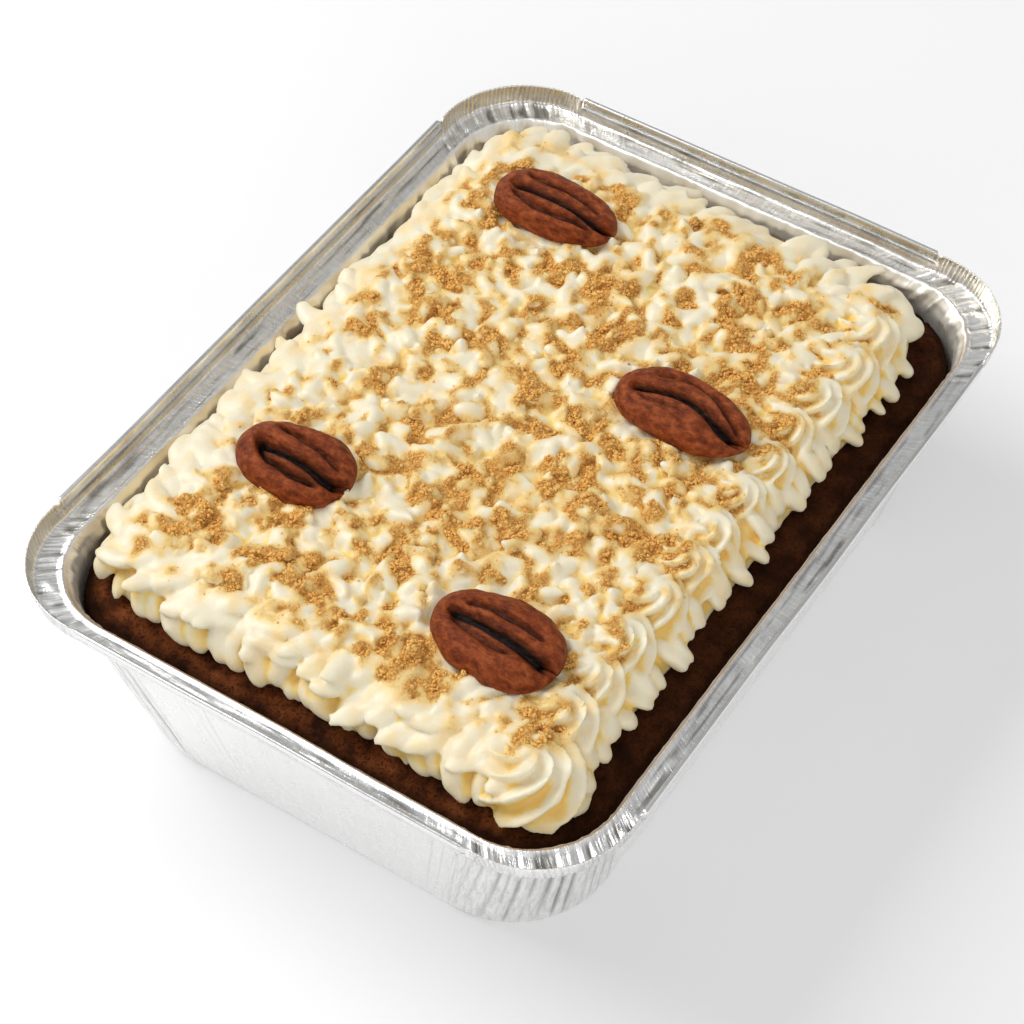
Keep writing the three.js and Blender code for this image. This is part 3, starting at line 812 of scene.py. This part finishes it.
# A rope has the points of its path in millimetres, its radius at each, how flat
# it is and how far it is rolled, in degrees.
ropeShapes = [
    # lobes that come over the shoulder, turn back and hang over the edge
    ([(-6.0, 3.0, 8.0), (-2.0, 1.0, 9.4), (1.8, -1.2, 9.2), (4.8, -2.2, 7.2), (7.0, -1.2, 4.6),
      (8.4, 1.0, 2.4), (8.8, 2.4, 1.0)], [2.0, 2.7, 3.2, 3.3, 3.0, 2.2, 0.8], 0.85, 20),
    ([(-6.0, 2.0, 8.2), (-2.4, -0.4, 9.8), (1.6, -2.0, 9.0), (5.0, -1.8, 6.8), (7.4, 0.2, 4.0),
      (8.0, 2.4, 2.2), (7.6, 3.6, 1.2)], [1.8, 2.6, 3.1, 3.2, 2.9, 2.1, 0.8], 0.8, 28),
    ([(-5.0, 2.6, 8.6), (-0.6, 1.0, 9.4), (3.2, -0.6, 8.0), (6.4, -0.4, 5.4), (8.0, 1.0, 3.2),
      (8.2, 2.2, 2.0)], [2.0, 2.9, 3.3, 3.1, 2.4, 0.9], 0.8, 24),
    # small drips under them
    ([(2, -1.0, 3.2), (5.4, -0.6, 3.0), (7.8, 0.6, 1.9), (9.1, 1.8, 0.8)], [2.0, 2.2, 1.7, 0.7], 0.8, 20),
    # petals under the wide border
    ([(-1, 0, 5.4), (4.6, -0.3, 5.0), (7.6, 0.2, 3.4), (9.2, 0.8, 1.9), (9.9, 1.2, 1.2)],
     [2.6, 3.0, 3.1, 2.7, 1.7], 0.6, -35),
    ([(-1, 0.5, 7.2), (3.6, 0.4, 6.8), (6.6, -0.2, 5.2), (8.0, -0.6, 3.6), (8.6, -0.9, 2.8)],
     [2.5, 3.0, 3.0, 2.6, 1.6], 0.56, -40),
    # pulled strokes of the middle
    ([(-4.4, 0, 0.2), (-1.6, 0.6, 1.2), (1.2, 0.4, 2.2), (2.9, -0.7, 3.2), (3.6, -1.8, 4.0)],
     [0.9, 1.8, 1.9, 1.3, 0.6], 1.0, 0),
    ([(-4.6, -1, 0.4), (-2.2, 0.9, 1.5), (0.6, 1.4, 2.1), (2.8, 0.2, 2.3), (4.4, -1.8, 1.5)],
     [0.9, 1.7, 2.0, 1.6, 0.7], 0.95, 0),
    ([(-2.4, 0, 0.8), (0, 0.5, 1.9), (2.0, -0.2, 2.7), (3.0, -1.3, 2.8)], [1.3, 2.1, 1.7, 0.7], 0.95, 0),
]
peakShapes = [(0.35, 0.25), (-0.3, 0.5)]    # how far the tip bends, and its twist
kinds = {"swirls": (0, 1), "rosettes": (2, 3), "lobes": (4, 5, 6), "drips": (7,), "petals": (8, 9),
         "strokes": (10, 11, 12), "peaks": (13, 14)}


# One swirl of radius 1 and height 1. Each band is scooped and ends in a lip with
# a steep drop on its outer side; outward, the bands turn clockwise.
def pipedSwirl(name, ridges, sweep, depth, dome):
    rings, around = 44, 168
    t = (np.arange(rings) / rings)[:, None]
    theta = (2 * np.pi * np.arange(around) / around)[None, :]
    spread = np.cos(t * np.pi / 2) ** dome * (1 + 0.06 * np.sin(np.pi * np.minimum(1, t * 2.2)))
    height = np.sin(t * np.pi / 2) ** 1.1
    u = (ridges * (theta - math.radians(sweep) * t ** 1.2) / (2 * np.pi)) % 1.0
    lip = np.where(u < 0.8, (u / 0.8) ** 1.2, np.cos(np.pi / 2 * (u - 0.8) / 0.2) ** 2)
    drop = (1 - lip) * depth
    r = spread * (1 - drop)
    z = height - drop * 0.85 * np.minimum(1, (1 - t) * 4) * np.minimum(1, t * 3)
    loops = np.stack([r * np.cos(theta), r * np.sin(theta), np.maximum(0, z)], -1)
    return skinned(name, loops, (0, 0, 0), (0, 0, 1))


# A rope of cream along a bent path, with a flattened, rolled section.
def pipedRope(name, path, radii, flat, roll):
    knots, t = np.linspace(0, 1, len(path)), np.linspace(0, 1, 30)
    track = np.column_stack([path, radii])
    track = np.stack([np.interp(t, knots, track[:, n]) for n in range(4)], 1)
    for _ in range(7):
        track[1:-1] = (track[:-2] + 2 * track[1:-1] + track[2:]) / 4
    centre, radius = track[:, :3], track[:, 3]
    ahead = np.gradient(centre, axis=0)
    ahead /= np.linalg.norm(ahead, axis=1)[:, None]
    side = np.cross((0, 0, 1.0), ahead)
    side /= np.linalg.norm(side, axis=1)[:, None]
    up = np.cross(ahead, side)
    turn = 2 * np.pi * np.arange(20) / 20
    lean = math.radians(roll)
    wide, tall = np.cos(turn), flat * np.sign(np.sin(turn)) * np.abs(np.sin(turn)) ** 1.15
    rolled = wide * math.cos(lean) - tall * math.sin(lean)
    tall = wide * math.sin(lean) + tall * math.cos(lean)
    ring = side[:, None] * rolled[:, None] + up[:, None] * tall[:, None]
    loops = centre[:, None] + ring * radius[:, None, None]
    loops[..., 2] = np.maximum(loops[..., 2], 0)
    return skinned(name, loops, centre[0], centre[-1])


# A small pulled peak of radius 1 and height 1 whose tip bends over.
def pipedPeak(name, bend, twist):
    t = (np.arange(18) / 18)[:, None]
    theta = (2 * np.pi * np.arange(24) / 24)[None, :]
    r = (1 - t) ** 1.15 * (1 + 0.2 * np.sin(3 * theta + twist * 8 * t)) + 0.10 * (1 - t)
    x = r * np.cos(theta) + bend * t ** 2
    y = r * np.sin(theta) * 0.85 + twist * 0.4 * t ** 2
    z = t ** 0.85 + 0 * theta
    return skinned(name, np.stack([x, y, z], -1), (0, 0, 0), (bend, twist * 0.4, 1))


# Points at even steps round the frosting's rounded outline, each with the
# direction that faces outward.
def outlineSpots(step):
    s = frostingSizes
    r = s["corner"]
    middles = [(s["right"] - r, s["back"] - r), (s["left"] + r, s["back"] - r),
               (s["left"] + r, s["front"] + r), (s["right"] - r, s["front"] + r)]
    path = []
    for k, (cx, cy) in enumerate(middles):
        for i in range(13):
            a = math.radians(90 * k + 90 * i / 12)
            path.append((cx + r * math.cos(a), cy + r * math.sin(a), a))
    path.append((*path[0][:2], path[0][2] + 2 * math.pi))
    path = np.array(path)
    travelled = np.concatenate([[0], np.cumsum(np.hypot(*np.diff(path[:, :2], axis=0).T))])
    count = int(travelled[-1] / step)
    at = np.arange(count) / count * travelled[-1]
    return np.stack([np.interp(at, travelled, path[:, n]) for n in range(3)], 1)


# Every piped spot: x, y, z, length scale, width scale, height scale, turn,
# leans about X and Y, and kind.
def pipedSpots():
    s = frostingSizes
    draw = random.Random(s["seed"])
    vary = draw.uniform
    spots = []

    def add(kind, x, y, z, long, wide, tall, turn, leanX=0.0, leanY=0.0):
        spots.append((x, y, z, long, wide, tall, turn, leanX, leanY, draw.choice(kinds[kind])))

    # lobes hang over three edges, with drips between them
    for x, y, out in outlineSpots(s["lobeStep"]):
        if math.cos(out) > 0.9:
            continue
        x, y = x + vary(-0.7, 0.7), y + vary(-0.7, 0.7)
        low = 0.78 if math.cos(out) < -0.7 or math.sin(out) > 0.7 else 0.88
        add("lobes", x, y, s["base"], vary(0.9, 1.08), vary(0.86, 1.14), low * vary(0.9, 1.1),
            out + vary(-0.35, 0.25))
    for x, y, out in outlineSpots(s["petalStep"]):
        if math.cos(out) > 0.9:
            add("petals", x + vary(-0.8, 0.3), y + vary(-0.5, 0.5), s["base"] + vary(0, 0.5),
                vary(0.84, 1.0), vary(0.8, 1.1), vary(0.85, 1.1), out + vary(-0.35, 0.05))
        elif draw.random() < 0.5:
            add("drips", x + vary(-0.5, 0.5), y + vary(-0.5, 0.5), s["base"],
                vary(0.8, 1.0), vary(0.7, 1.0), vary(0.8, 1.1), out + vary(-0.2, 0.3))
    # curled rosettes stand on the right edge, the largest at the front corner
    run = s["back"] - s["front"] - 14
    for i in range(s["rosettes"]):
        y = s["front"] + 2.5 + run * i / (s["rosettes"] - 1) + (vary(-1.0, 1.0) if i else -2.5)
        x = s["right"] - 2.2 + vary(-0.8, 0.6)
        if i == 0:
            spots.append((s["right"] - 1.0, y, s["base"] - 0.4, 12.4, 12.4, 14.6, 2.2, 0.06, 0.12,
                          kinds["rosettes"][0]))
            continue
        size = vary(8.6, 9.8)
        add("rosettes", x, y, s["base"] + 2.4, size, size * 0.95, s["swirlTop"] - s["base"] - 3.0,
            2.2 + vary(-0.6, 0.6), vary(0, 0.12), vary(0.16, 0.26))
        if draw.random() < 0.6:
            size *= 0.62
            add("swirls", x - 9.0, y + vary(-5, 5), 54.2, size, size, vary(4.6, 5.6), vary(0, 6.28),
                vary(-0.1, 0.1), vary(0, 0.2))
    # strokes over the shoulder of the other edges
    for inward, step, low in ((-2.4, 5.6, 2.6), (1.2, 5.2, 1.0), (5.2, 4.8, 0), (8.6, 5.4, 0)):
        for x, y, out in outlineSpots(step):
            if math.cos(out) > 0.6:
                continue
            x += vary(-1, 1) - inward * math.cos(out)
            y += vary(-1, 1) - inward * math.sin(out)
            size = vary(0.8, 1.15) * (1.6 if low else 1)
            add("strokes", x, y, 55.6 - low + vary(-0.8, 0.6), size * 1.1, size, vary(0.7, 1.0),
                out + vary(-1.2, 0.4), vary(-0.2, 0.2), vary(0.0, 0.35))
    # the middle: strokes in every direction and pulled peaks
    step = s["middleStep"]
    columns = int((s["right"] - s["left"] - 14) / step)
    rows = int((s["back"] - s["front"] - 14) / (step * 0.87))
    for j in range(rows + 1):
        for i in range(columns + 1):
            x = s["left"] + 7 + (i + 0.5 * (j % 2)) * step + vary(-1.7, 1.7)
            y = s["front"] + 7 + j * step * 0.87 + vary(-1.7, 1.7)
            turn, leans = vary(0, 6.28), (vary(-0.2, 0.2), vary(-0.2, 0.2))
            if draw.random() < 0.84:
                size = vary(0.76, 1.22)
                add("strokes", x, y, 55.5 + vary(-1.2, 0.8), size * vary(0.9, 1.2), size, vary(0.6, 1.05),
                    turn, *leans)
            else:
                size = vary(2.2, 3.2)
                add("peaks", x, y, 55.8, size, size, vary(3.4, 5.2), turn, *leans)
    return np.array(spots)


# Puts a nozzle shape on each piped spot.
def pipingTree():
    tree, sockets = newTree("pipedSwirls", [
        ("Shapes", "NodeSocketCollection", None),
        ("Size Spread", "NodeSocketFloat", 0.05),
        ("Seed", "NodeSocketInt", 4),
        ("Material", "NodeSocketMaterial", None),
    ])
    start = addNode(tree, "NodeGroupInput")
    rotation = addNode(tree, "FunctionNodeEulerToRotation")
    link(tree, namedValue(tree, "turn", "FLOAT_VECTOR"), rotation.inputs[0])
    spread = start.outputs["Size Spread"]
    change = randomValue(tree, mathNode(tree, "SUBTRACT", 1.0, spread), mathNode(tree, "ADD", 1.0, spread),
                         start.outputs["Seed"])
    scaled = addNode(tree, "ShaderNodeVectorMath", operation="SCALE")
    link(tree, namedValue(tree, "size", "FLOAT_VECTOR"), scaled.inputs[0])
    link(tree, change, scaled.inputs["Scale"])
    putShapes(tree, start, start.outputs["Geometry"], rotation.outputs[0], scaled.outputs[0],
              namedValue(tree, "kind", "INT"))
    return tree, sockets


def shapeCollection(name, meshes):
    shapes = bpy.data.collections.new(name)
    for mesh in meshes:
        shapes.objects.link(bpy.data.objects.new(mesh.name, mesh))
    return shapes


def dropCollection(shapes):
    for shape in list(shapes.objects):
        bpy.data.objects.remove(shape)
    bpy.data.collections.remove(shapes)


# The bed of frosting under the piping: its outline grown outward, then a height.
bedLoops = [(6.4, 46.3), (6.0, 48.8), (4.2, 52.2), (0.6, 55.2), (-5.0, 56.8)]


def frostingBed():
    spots = outlineSpots(2.0)
    ahead = np.stack([np.cos(spots[:, 2]), np.sin(spots[:, 2])], 1)
    loops = [np.column_stack([spots[:, :2] + ahead * grow, np.full(len(spots), z)]) * mm
             for grow, z in bedLoops]
    return skinned("frostingBed", loops, (0, 0, bedLoops[0][1] * mm), (0, 0, bedLoops[-1][1] * mm))


# Squared distance from a pecan's middle, 1 on its outline.
def pecanReach(node, x, y, margin=0.0):
    spec = pecanPlaces[node]
    c, s = math.cos(math.radians(spec["turn"])), math.sin(math.radians(spec["turn"]))
    along = (x - spec["at"][0]) * c + (y - spec["at"][1]) * s
    across = -(x - spec["at"][0]) * s + (y - spec["at"][1]) * c
    half = spec["wide"] / 2 * (1 - spec["taper"] * along / (spec["long"] / 2))
    return (np.abs(along) / (spec["long"] / 2 + margin)) ** 2.5 + (np.abs(across) / (half + margin)) ** 2


# Height map of a surface seen from above, on a square grid.
def heightMap(points, pitch, low, high):
    nx, ny = ((high - low) / pitch).astype(int) + 1
    grid = np.full((nx, ny), -1.0)
    ix = np.clip(((points[:, 0] - low[0]) / pitch).astype(int), 0, nx - 1)
    iy = np.clip(((points[:, 1] - low[1]) / pitch).astype(int), 0, ny - 1)
    np.maximum.at(grid, (ix, iy), points[:, 2])
    return grid, ix, iy


def blurred(grid, steps):
    filled = grid.copy()
    for _ in range(steps):
        padded = np.pad(filled, 1, mode="edge")
        filled = (padded[:-2, 1:-1] + padded[2:, 1:-1] + padded[1:-1, :-2] + padded[1:-1, 2:]
                  + 2 * padded[1:-1, 1:-1]) / 6
    return filled


# How deep each point lies below its surroundings, from 0 on crests to 1 in hollows.
def hollowShare(points):
    low, high = points[:, :2].min(0), points[:, :2].max(0)
    grid, ix, iy = heightMap(points, 0.7 * mm, low, high)
    grid[grid < 0] = frostingSizes["base"] * mm
    broad, fine = blurred(grid, 30), blurred(grid, 5)
    below = 0.6 * (broad[ix, iy] - points[:, 2]) + 0.4 * (fine[ix, iy] - points[:, 2])
    return np.clip(0.5 + below / (2.8 * mm), 0, 1)


# How far a smoothed copy of the surface stands above each point, which is most in
# the creases: 0.5 on level ground, more in creases, less on crests.
def creaseShare(mesh, points, normals):
    ends = np.empty(len(mesh.edges) * 2, np.int32)
    mesh.edges.foreach_get("vertices", ends)
    a, b = ends.reshape(-1, 2).T
    number = len(points)
    nearby = (np.bincount(a, minlength=number) + np.bincount(b, minlength=number))[:, None]
    smooth, share = points.copy(), 0.5
    for step in range(40):
        total = [np.bincount(a, smooth[b, n], number) + np.bincount(b, smooth[a, n], number)
                 for n in range(3)]
        smooth = (smooth + np.stack(total, 1) / nearby) / 2
        if step in (5, 39):
            above = ((smooth - points) * normals).sum(1)
            above = (above - np.median(above)) / (np.std(above) + 1e-9)
            share = share + 0.1 * np.clip(above, -2.5, 2.0)
    return np.clip(share, 0, 1)


# Share of brown sugar: patches that favour the hollows of the middle.
def sugarShare(points, normals):
    s = frostingSizes
    flat = points * (1, 1, 0.4)
    patch = (0.25 * softNoise(flat, 0.017, 61) + 0.7 * softNoise(flat, 0.0046, 67)
             + 1.1 * softNoise(flat, 0.0024, 71))
    x, y = points[:, 0] / mm, points[:, 1] / mm
    inside = np.min([x - s["left"], s["right"] - x, y - s["front"], s["back"] - y], 0)
    middle = smoothStep(-6, 4, inside)
    share = 0.65 + 0.6 * patch + (hollowShare(points) - 0.5) * 0.8
    share = np.clip(share, 0, 1) * (0.2 + 0.8 * middle)
    return share * smoothStep(-0.1, 0.4, normals[:, 2])


# Gives the frosting the values that its colours and the sugar follow, the painted shade of its hollows and
# creases among them.
def markFrosting(mesh):
    points, normals = meshArrays(mesh)
    hollow = hollowShare(points)
    upward = smoothStep(-0.1, 0.6, normals[:, 2]) * smoothStep(47.5, 53.5, points[:, 2] / mm)
    crease = creaseShare(mesh, points, normals)
    # painted shade: deeper hollows and creases are drawn darker and warmer
    pointValue(mesh, "hollow", crease + np.minimum(hollow - 0.5, 0.5 * (hollow - 0.5) * upward))
    pointValue(mesh, "sugar", sugarShare(points, normals))


# Pipes every shape, fuses them with the bed, roughens the skin, presses in the
# pecans' seats and raises the sugared places.
def buildFrosting(material):
    s = frostingSizes
    makers = [(pipedSwirl, shape) for shape in swirlShapes]
    makers += [(pipedRope, shape) for shape in ropeShapes]
    makers += [(pipedPeak, shape) for shape in peakShapes]
    meshes = [make(f"piped{k:02d}", *shape) for k, (make, shape) in enumerate(makers)]
    shapes = shapeCollection("nozzleShapes", meshes)
    spots = pipedSpots()
    dots = plainMesh("frosting", spots[:, :3] * mm, [])
    kind = dots.attributes.new("kind", "INT", "POINT")
    kind.data.foreach_set("value", spots[:, 9].astype(np.int32))
    for name, vectors in (("size", spots[:, 3:6] * mm), ("turn", spots[:, [7, 8, 6]])):
        layer = dots.attributes.new(name, "FLOAT_VECTOR", "POINT")
        layer.data.foreach_set("vector", vectors.astype(np.float32).ravel())
    piece = pieceFrom("creamFrosting", dots)
    tree, sockets = pipingTree()
    runTree(piece, tree, sockets, {"Shapes": shapes, "Material": material, "Seed": 4})
    bed = pieceFrom("bed", frostingBed())
    with bpy.context.temp_override(active_object=piece, selected_editable_objects=[piece, bed]):
        bpy.ops.object.join()
    dropCollection(shapes)
    print("frosting piped", len(piece.data.vertices))
    fuse = piece.modifiers.new("fuse", "REMESH")
    fuse.mode = "VOXEL"
    fuse.voxel_size = s["voxel"] * mm
    soften = piece.modifiers.new("soften", "SMOOTH")
    soften.factor = 0.5
    soften.iterations = 5
    mesh = bakeModifiers(piece)
    points, normals = meshArrays(mesh)
    wobble = 0.4 * softNoise(points, 0.0075, 3) + 0.5 * softNoise(points, 0.0042, 5)
    wobble += 0.22 * softNoise(points, 0.0021, 7)
    points += normals * (wobble * mm)[:, None]
    points[:, 2] = np.maximum(points[:, 2], s["base"] * mm)
    for node in pecanPlaces:
        reach = pecanReach(node, points[:, 0] / mm, points[:, 1] / mm, 0.2)
        seat = (pecanSizes["seat"] - 0.3 + 2.6 * np.clip(reach, 0, 1) ** 2.5) * mm
        inside = reach < 1.0
        points[inside, 2] = np.minimum(points[inside, 2], seat[inside])
    sugar = sugarShare(points, normals)
    clump = np.maximum(0, softNoise(points, 0.0013, 81) + 0.6 * softNoise(points, 0.0008, 83))
    x, y = points[:, 0] / mm, points[:, 1] / mm
    outside = np.min([pecanReach(node, x, y, 0.6) for node in pecanPlaces], 0) > 1
    lift = smoothStep(0.47, 0.7, sugar) * (0.2 + clump) * outside * s["sugarLift"]
    points += normals * (lift * mm)[:, None]
    setPoints(mesh, points)
    faces = sum(len(p.vertices) - 2 for p in mesh.polygons)
    thin = piece.modifiers.new("thin", "DECIMATE")
    thin.ratio = min(1.0, s["faceLimit"] / faces)
    mesh = bakeModifiers(piece)
    shadeSmooth(mesh)
    mesh.materials.clear()
    mesh.materials.append(material)
    markFrosting(mesh)
    print("frosting", len(mesh.polygons), "faces of", faces)
    return piece


# Brown sugar that lies on the frosting, kind by kind: how many on a square metre,
# their radius in millimetres, and the share of sugar below which none lies.
sugarKinds = {
    "sugarGrains": (2600000, 0.24, 0.31),
    "sugarClumps": (1150000, 0.42, 0.54),
    "sugarHeaps": (440000, 1.05, 0.52),
}
sugarLook = {
    "pale": (0.91, 0.60, 0.215),
    "gold": (0.83, 0.45, 0.108),
    "brown": (0.60, 0.25, 0.038),
}


def sugarMaterial():
    look = sugarLook
    material, tree, shader, coords = newMaterial("brownSugar", {"Roughness": 0.7, "Specular IOR Level": 0.2})
    grain = noiseValue(tree, coords, 900, 4, 0.7)
    body = colourRamp(tree, grain, [(0.27, look["brown"]), (0.45, look["gold"]), (0.66, look["pale"])])
    link(tree, body, shader.inputs["Base Color"])
    link(tree, bump(tree, noiseValue(tree, coords, 2400, 3, 0.6), 0.6, 0.0002), shader.inputs["Normal"])
    return material


# A lump of radius 1 from a split icosahedron, knocked out of round.
def lumpMesh(name, seed, splits, uneven):
    shape = bmesh.new()
    bmesh.ops.create_icosphere(shape, subdivisions=splits, radius=1.0)
    draw = random.Random(seed)
    for vertex in shape.verts:
        vertex.co *= 1 + draw.uniform(-uneven, uneven)
        vertex.co.z *= 0.85
    mesh = bpy.data.meshes.new(name)
    shape.to_mesh(mesh)
    shape.free()
    return mesh


# A heap of radius 1: small lumps that stick together, highest in the middle.
def heapMesh(name, seed, lumps):
    draw = random.Random(seed)
    shape = bmesh.new()
    for _ in range(lumps):
        away, turn = draw.random() ** 0.6 * 0.85, draw.uniform(0, 6.28)
        size = draw.uniform(0.24, 0.4)
        at = Vector((away * math.cos(turn), away * math.sin(turn), draw.uniform(0, 0.42) * (1 - away)))
        made = bmesh.ops.create_icosphere(shape, subdivisions=1, radius=size)
        for vertex in made["verts"]:
            vertex.co = vertex.co * draw.uniform(0.8, 1.2) + at
    mesh = bpy.data.meshes.new(name)
    shape.to_mesh(mesh)
    shape.free()
    return mesh


# Scatters shapes where a surface's sugar share is high enough.
def sugarTree():
    tree, sockets = newTree("scatteredSugar", [
        ("Shapes", "NodeSocketCollection", None),
        ("Density", "NodeSocketFloat", 1.0),
        ("Least Sugar", "NodeSocketFloat", 0.4),
        ("Radius", "NodeSocketFloat", 0.0004),
        ("Seed", "NodeSocketInt", 1),
        ("Material", "NodeSocketMaterial", None),
    ])
    start = addNode(tree, "NodeGroupInput")
    sugar = namedValue(tree, "sugar", "FLOAT")
    above = mathNode(tree, "MAXIMUM", mathNode(tree, "SUBTRACT", sugar, start.outputs["Least Sugar"]), 0.0)
    spread = addNode(tree, "GeometryNodeDistributePointsOnFaces", distribute_method="RANDOM")
    link(tree, start.outputs["Geometry"], spread.inputs["Mesh"])
    link(tree, mathNode(tree, "MULTIPLY", above, start.outputs["Density"]), spread.inputs["Density"])
    link(tree, start.outputs["Seed"], spread.inputs["Seed"])
    turn = addNode(tree, "FunctionNodeRandomValue", data_type="FLOAT_VECTOR")
    turn.inputs[0].default_value = (-0.25, -0.25, 0)
    turn.inputs[1].default_value = (0.25, 0.25, 6.28)
    link(tree, start.outputs["Seed"], turn.inputs["Seed"])
    least, most = (mathNode(tree, "MULTIPLY", start.outputs["Radius"], share) for share in (0.55, 1.35))
    size = randomValue(tree, least, most, start.outputs["Seed"])
    putShapes(tree, start, spread.outputs["Points"], turn.outputs[0], size)
    return tree, sockets


def buildSugar(frosting, material):
    makers = {"sugarGrains": (lumpMesh, 1, 0.22), "sugarClumps": (lumpMesh, 2, 0.3),
              "sugarHeaps": (heapMesh, 11)}
    tree, sockets = sugarTree()
    pieces = []
    for seed, (name, (density, radius, least)) in enumerate(sugarKinds.items(), 7):
        make, *form = makers[name]
        meshes = [make(f"{name}{k}", seed + 10 * k, *form) for k in range(4)]
        shapes = shapeCollection(name + "Shapes", meshes)
        piece = pieceFrom(name, frosting.data.copy())
        runTree(piece, tree, sockets, {"Shapes": shapes, "Density": float(density), "Least Sugar": least,
                                       "Radius": radius * mm, "Seed": seed, "Material": material})
        dropCollection(shapes)
        shadeSmooth(piece.data)
        print(name, len(piece.data.polygons), "faces")
        pieces.append(piece)
    return pieces


# Camera, light and floor.
def lookAt(thing, place, target):
    thing.location = place
    thing.rotation_euler = (Vector(target) - Vector(place)).to_track_quat("-Z", "Y").to_euler()


cameraView = {
    "azimuth": 33.33,         # degrees from the front towards the right
    "elevation": 49.63,
    "distance": 0.65546,
    "target": (-0.002262, -0.004148, 0.030),
    "lens": 101.19,
}


def addCamera():
    c = cameraView
    a, e = math.radians(c["azimuth"]), math.radians(c["elevation"])
    back = Vector((math.sin(a) * math.cos(e), -math.cos(a) * math.cos(e), math.sin(e)))
    data = bpy.data.cameras.new("photoView")
    data.lens = c["lens"]
    data.sensor_width = 36
    data.clip_start = 0.01
    camera = bpy.data.objects.new("photoView", data)
    bpy.context.scene.collection.objects.link(camera)
    lookAt(camera, Vector(c["target"]) + back * c["distance"], c["target"])
    bpy.context.scene.camera = camera


lightLook = {
    "world": 0.55,
    "window": ((-0.95, -0.15, 1.0), (0.8, 0.8), 12.5),    # place, size and power
    "fill": ((0.8, -1.0, 0.8), (1.0, 0.8), 3.8),
    "floor": 0.70,
    "floorGlow": 0.24,        # lifts the shadow
    "floorHalf": 4.0,
}


def addLight(name, place, size, power):
    data = bpy.data.lights.new(name, "AREA")
    data.shape = "RECTANGLE"
    data.size, data.size_y = size
    data.energy = power
    lamp = bpy.data.objects.new(name, data)
    bpy.context.scene.collection.objects.link(lamp)
    lookAt(lamp, place, (0, 0, 0.04))


def addStage():
    half = lightLook["floorHalf"]
    corners = [(-half, -half, 0), (half, -half, 0), (half, half, 0), (-half, half, 0)]
    floor = pieceFrom("floor", plainMesh("floor", corners, [(0, 1, 2, 3)]))
    material, tree, shader, coords = newMaterial("paleFloor", {
        "Roughness": 0.7, "Emission Color": (1, 1, 1, 1), "Emission Strength": lightLook["floorGlow"]})
    mottle = noiseValue(tree, coords, 6, 2, 0.5)
    grey = lightLook["floor"]
    link(tree, greyRamp(tree, mottle, 0, 1, grey - 0.02, grey + 0.02), shader.inputs["Base Color"])
    floor.data.materials.append(material)
    # a studio room: pale low down, grey at mid height, bright overhead, a little more on the right
    world = bpy.data.worlds.new("studio")
    bpy.context.scene.world = world
    world.use_nodes = True
    room = world.node_tree
    facing = addNode(room, "ShaderNodeTexCoord").outputs["Generated"]
    split = addNode(room, "ShaderNodeSeparateXYZ")
    link(room, facing, split.inputs[0])
    rise = colourRamp(room, split.outputs["Z"], [(0.0, (1.25,) * 3), (0.4, (1.1,) * 3), (0.62, (0.62,) * 3),
                                                 (0.84, (0.7,) * 3), (0.95, (1.5,) * 3)])
    aside = plusShare(room, 1.0, split.outputs["X"], 0.2)
    background = room.nodes["Background"]
    tint = addNode(room, "ShaderNodeVectorMath", operation="SCALE")
    link(room, rise, tint.inputs[0])
    link(room, aside, tint.inputs["Scale"])
    link(room, tint.outputs[0], background.inputs["Color"])
    background.inputs["Strength"].default_value = lightLook["world"]
    addLight("window", *lightLook["window"])
    addLight("fill", *lightLook["fill"])
    bpy.context.scene.view_settings.view_transform = "Standard"


# Says which body a piece rides on and which solid it replaces.
def dress(piece, slot, *nodes):
    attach(piece, "root")
    if nodes:
        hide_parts(*nodes)


addCamera()
addStage()

tray = pieceFrom("foilTray", trayMesh())
tray.data.materials.append(foilMaterial())
dress(tray, "foil", "foil_tray")
print("tray", len(tray.data.polygons), "faces")

sponge = pieceFrom("spongeCake", spongeMesh())
sponge.data.materials.append(spongeMaterial())
shadeSmooth(sponge.data)
dress(sponge, "sponge", "cake")
print("sponge", len(sponge.data.polygons), "faces")

frosting = buildFrosting(frostingMaterial())
dress(frosting, "frosting", "frosting")
for piece in buildSugar(frosting, sugarMaterial()):
    dress(piece, "frosting")

nutSkin = pecanMaterial()
for number, node in enumerate(pecanPlaces):
    nut = pieceFrom(f"pecanHalf{number + 1}", pecanMesh(node, number + 1))
    nut.data.materials.append(nutSkin)
    dress(nut, "pecan", node)
print("pecans", len(nut.data.polygons), "faces each")
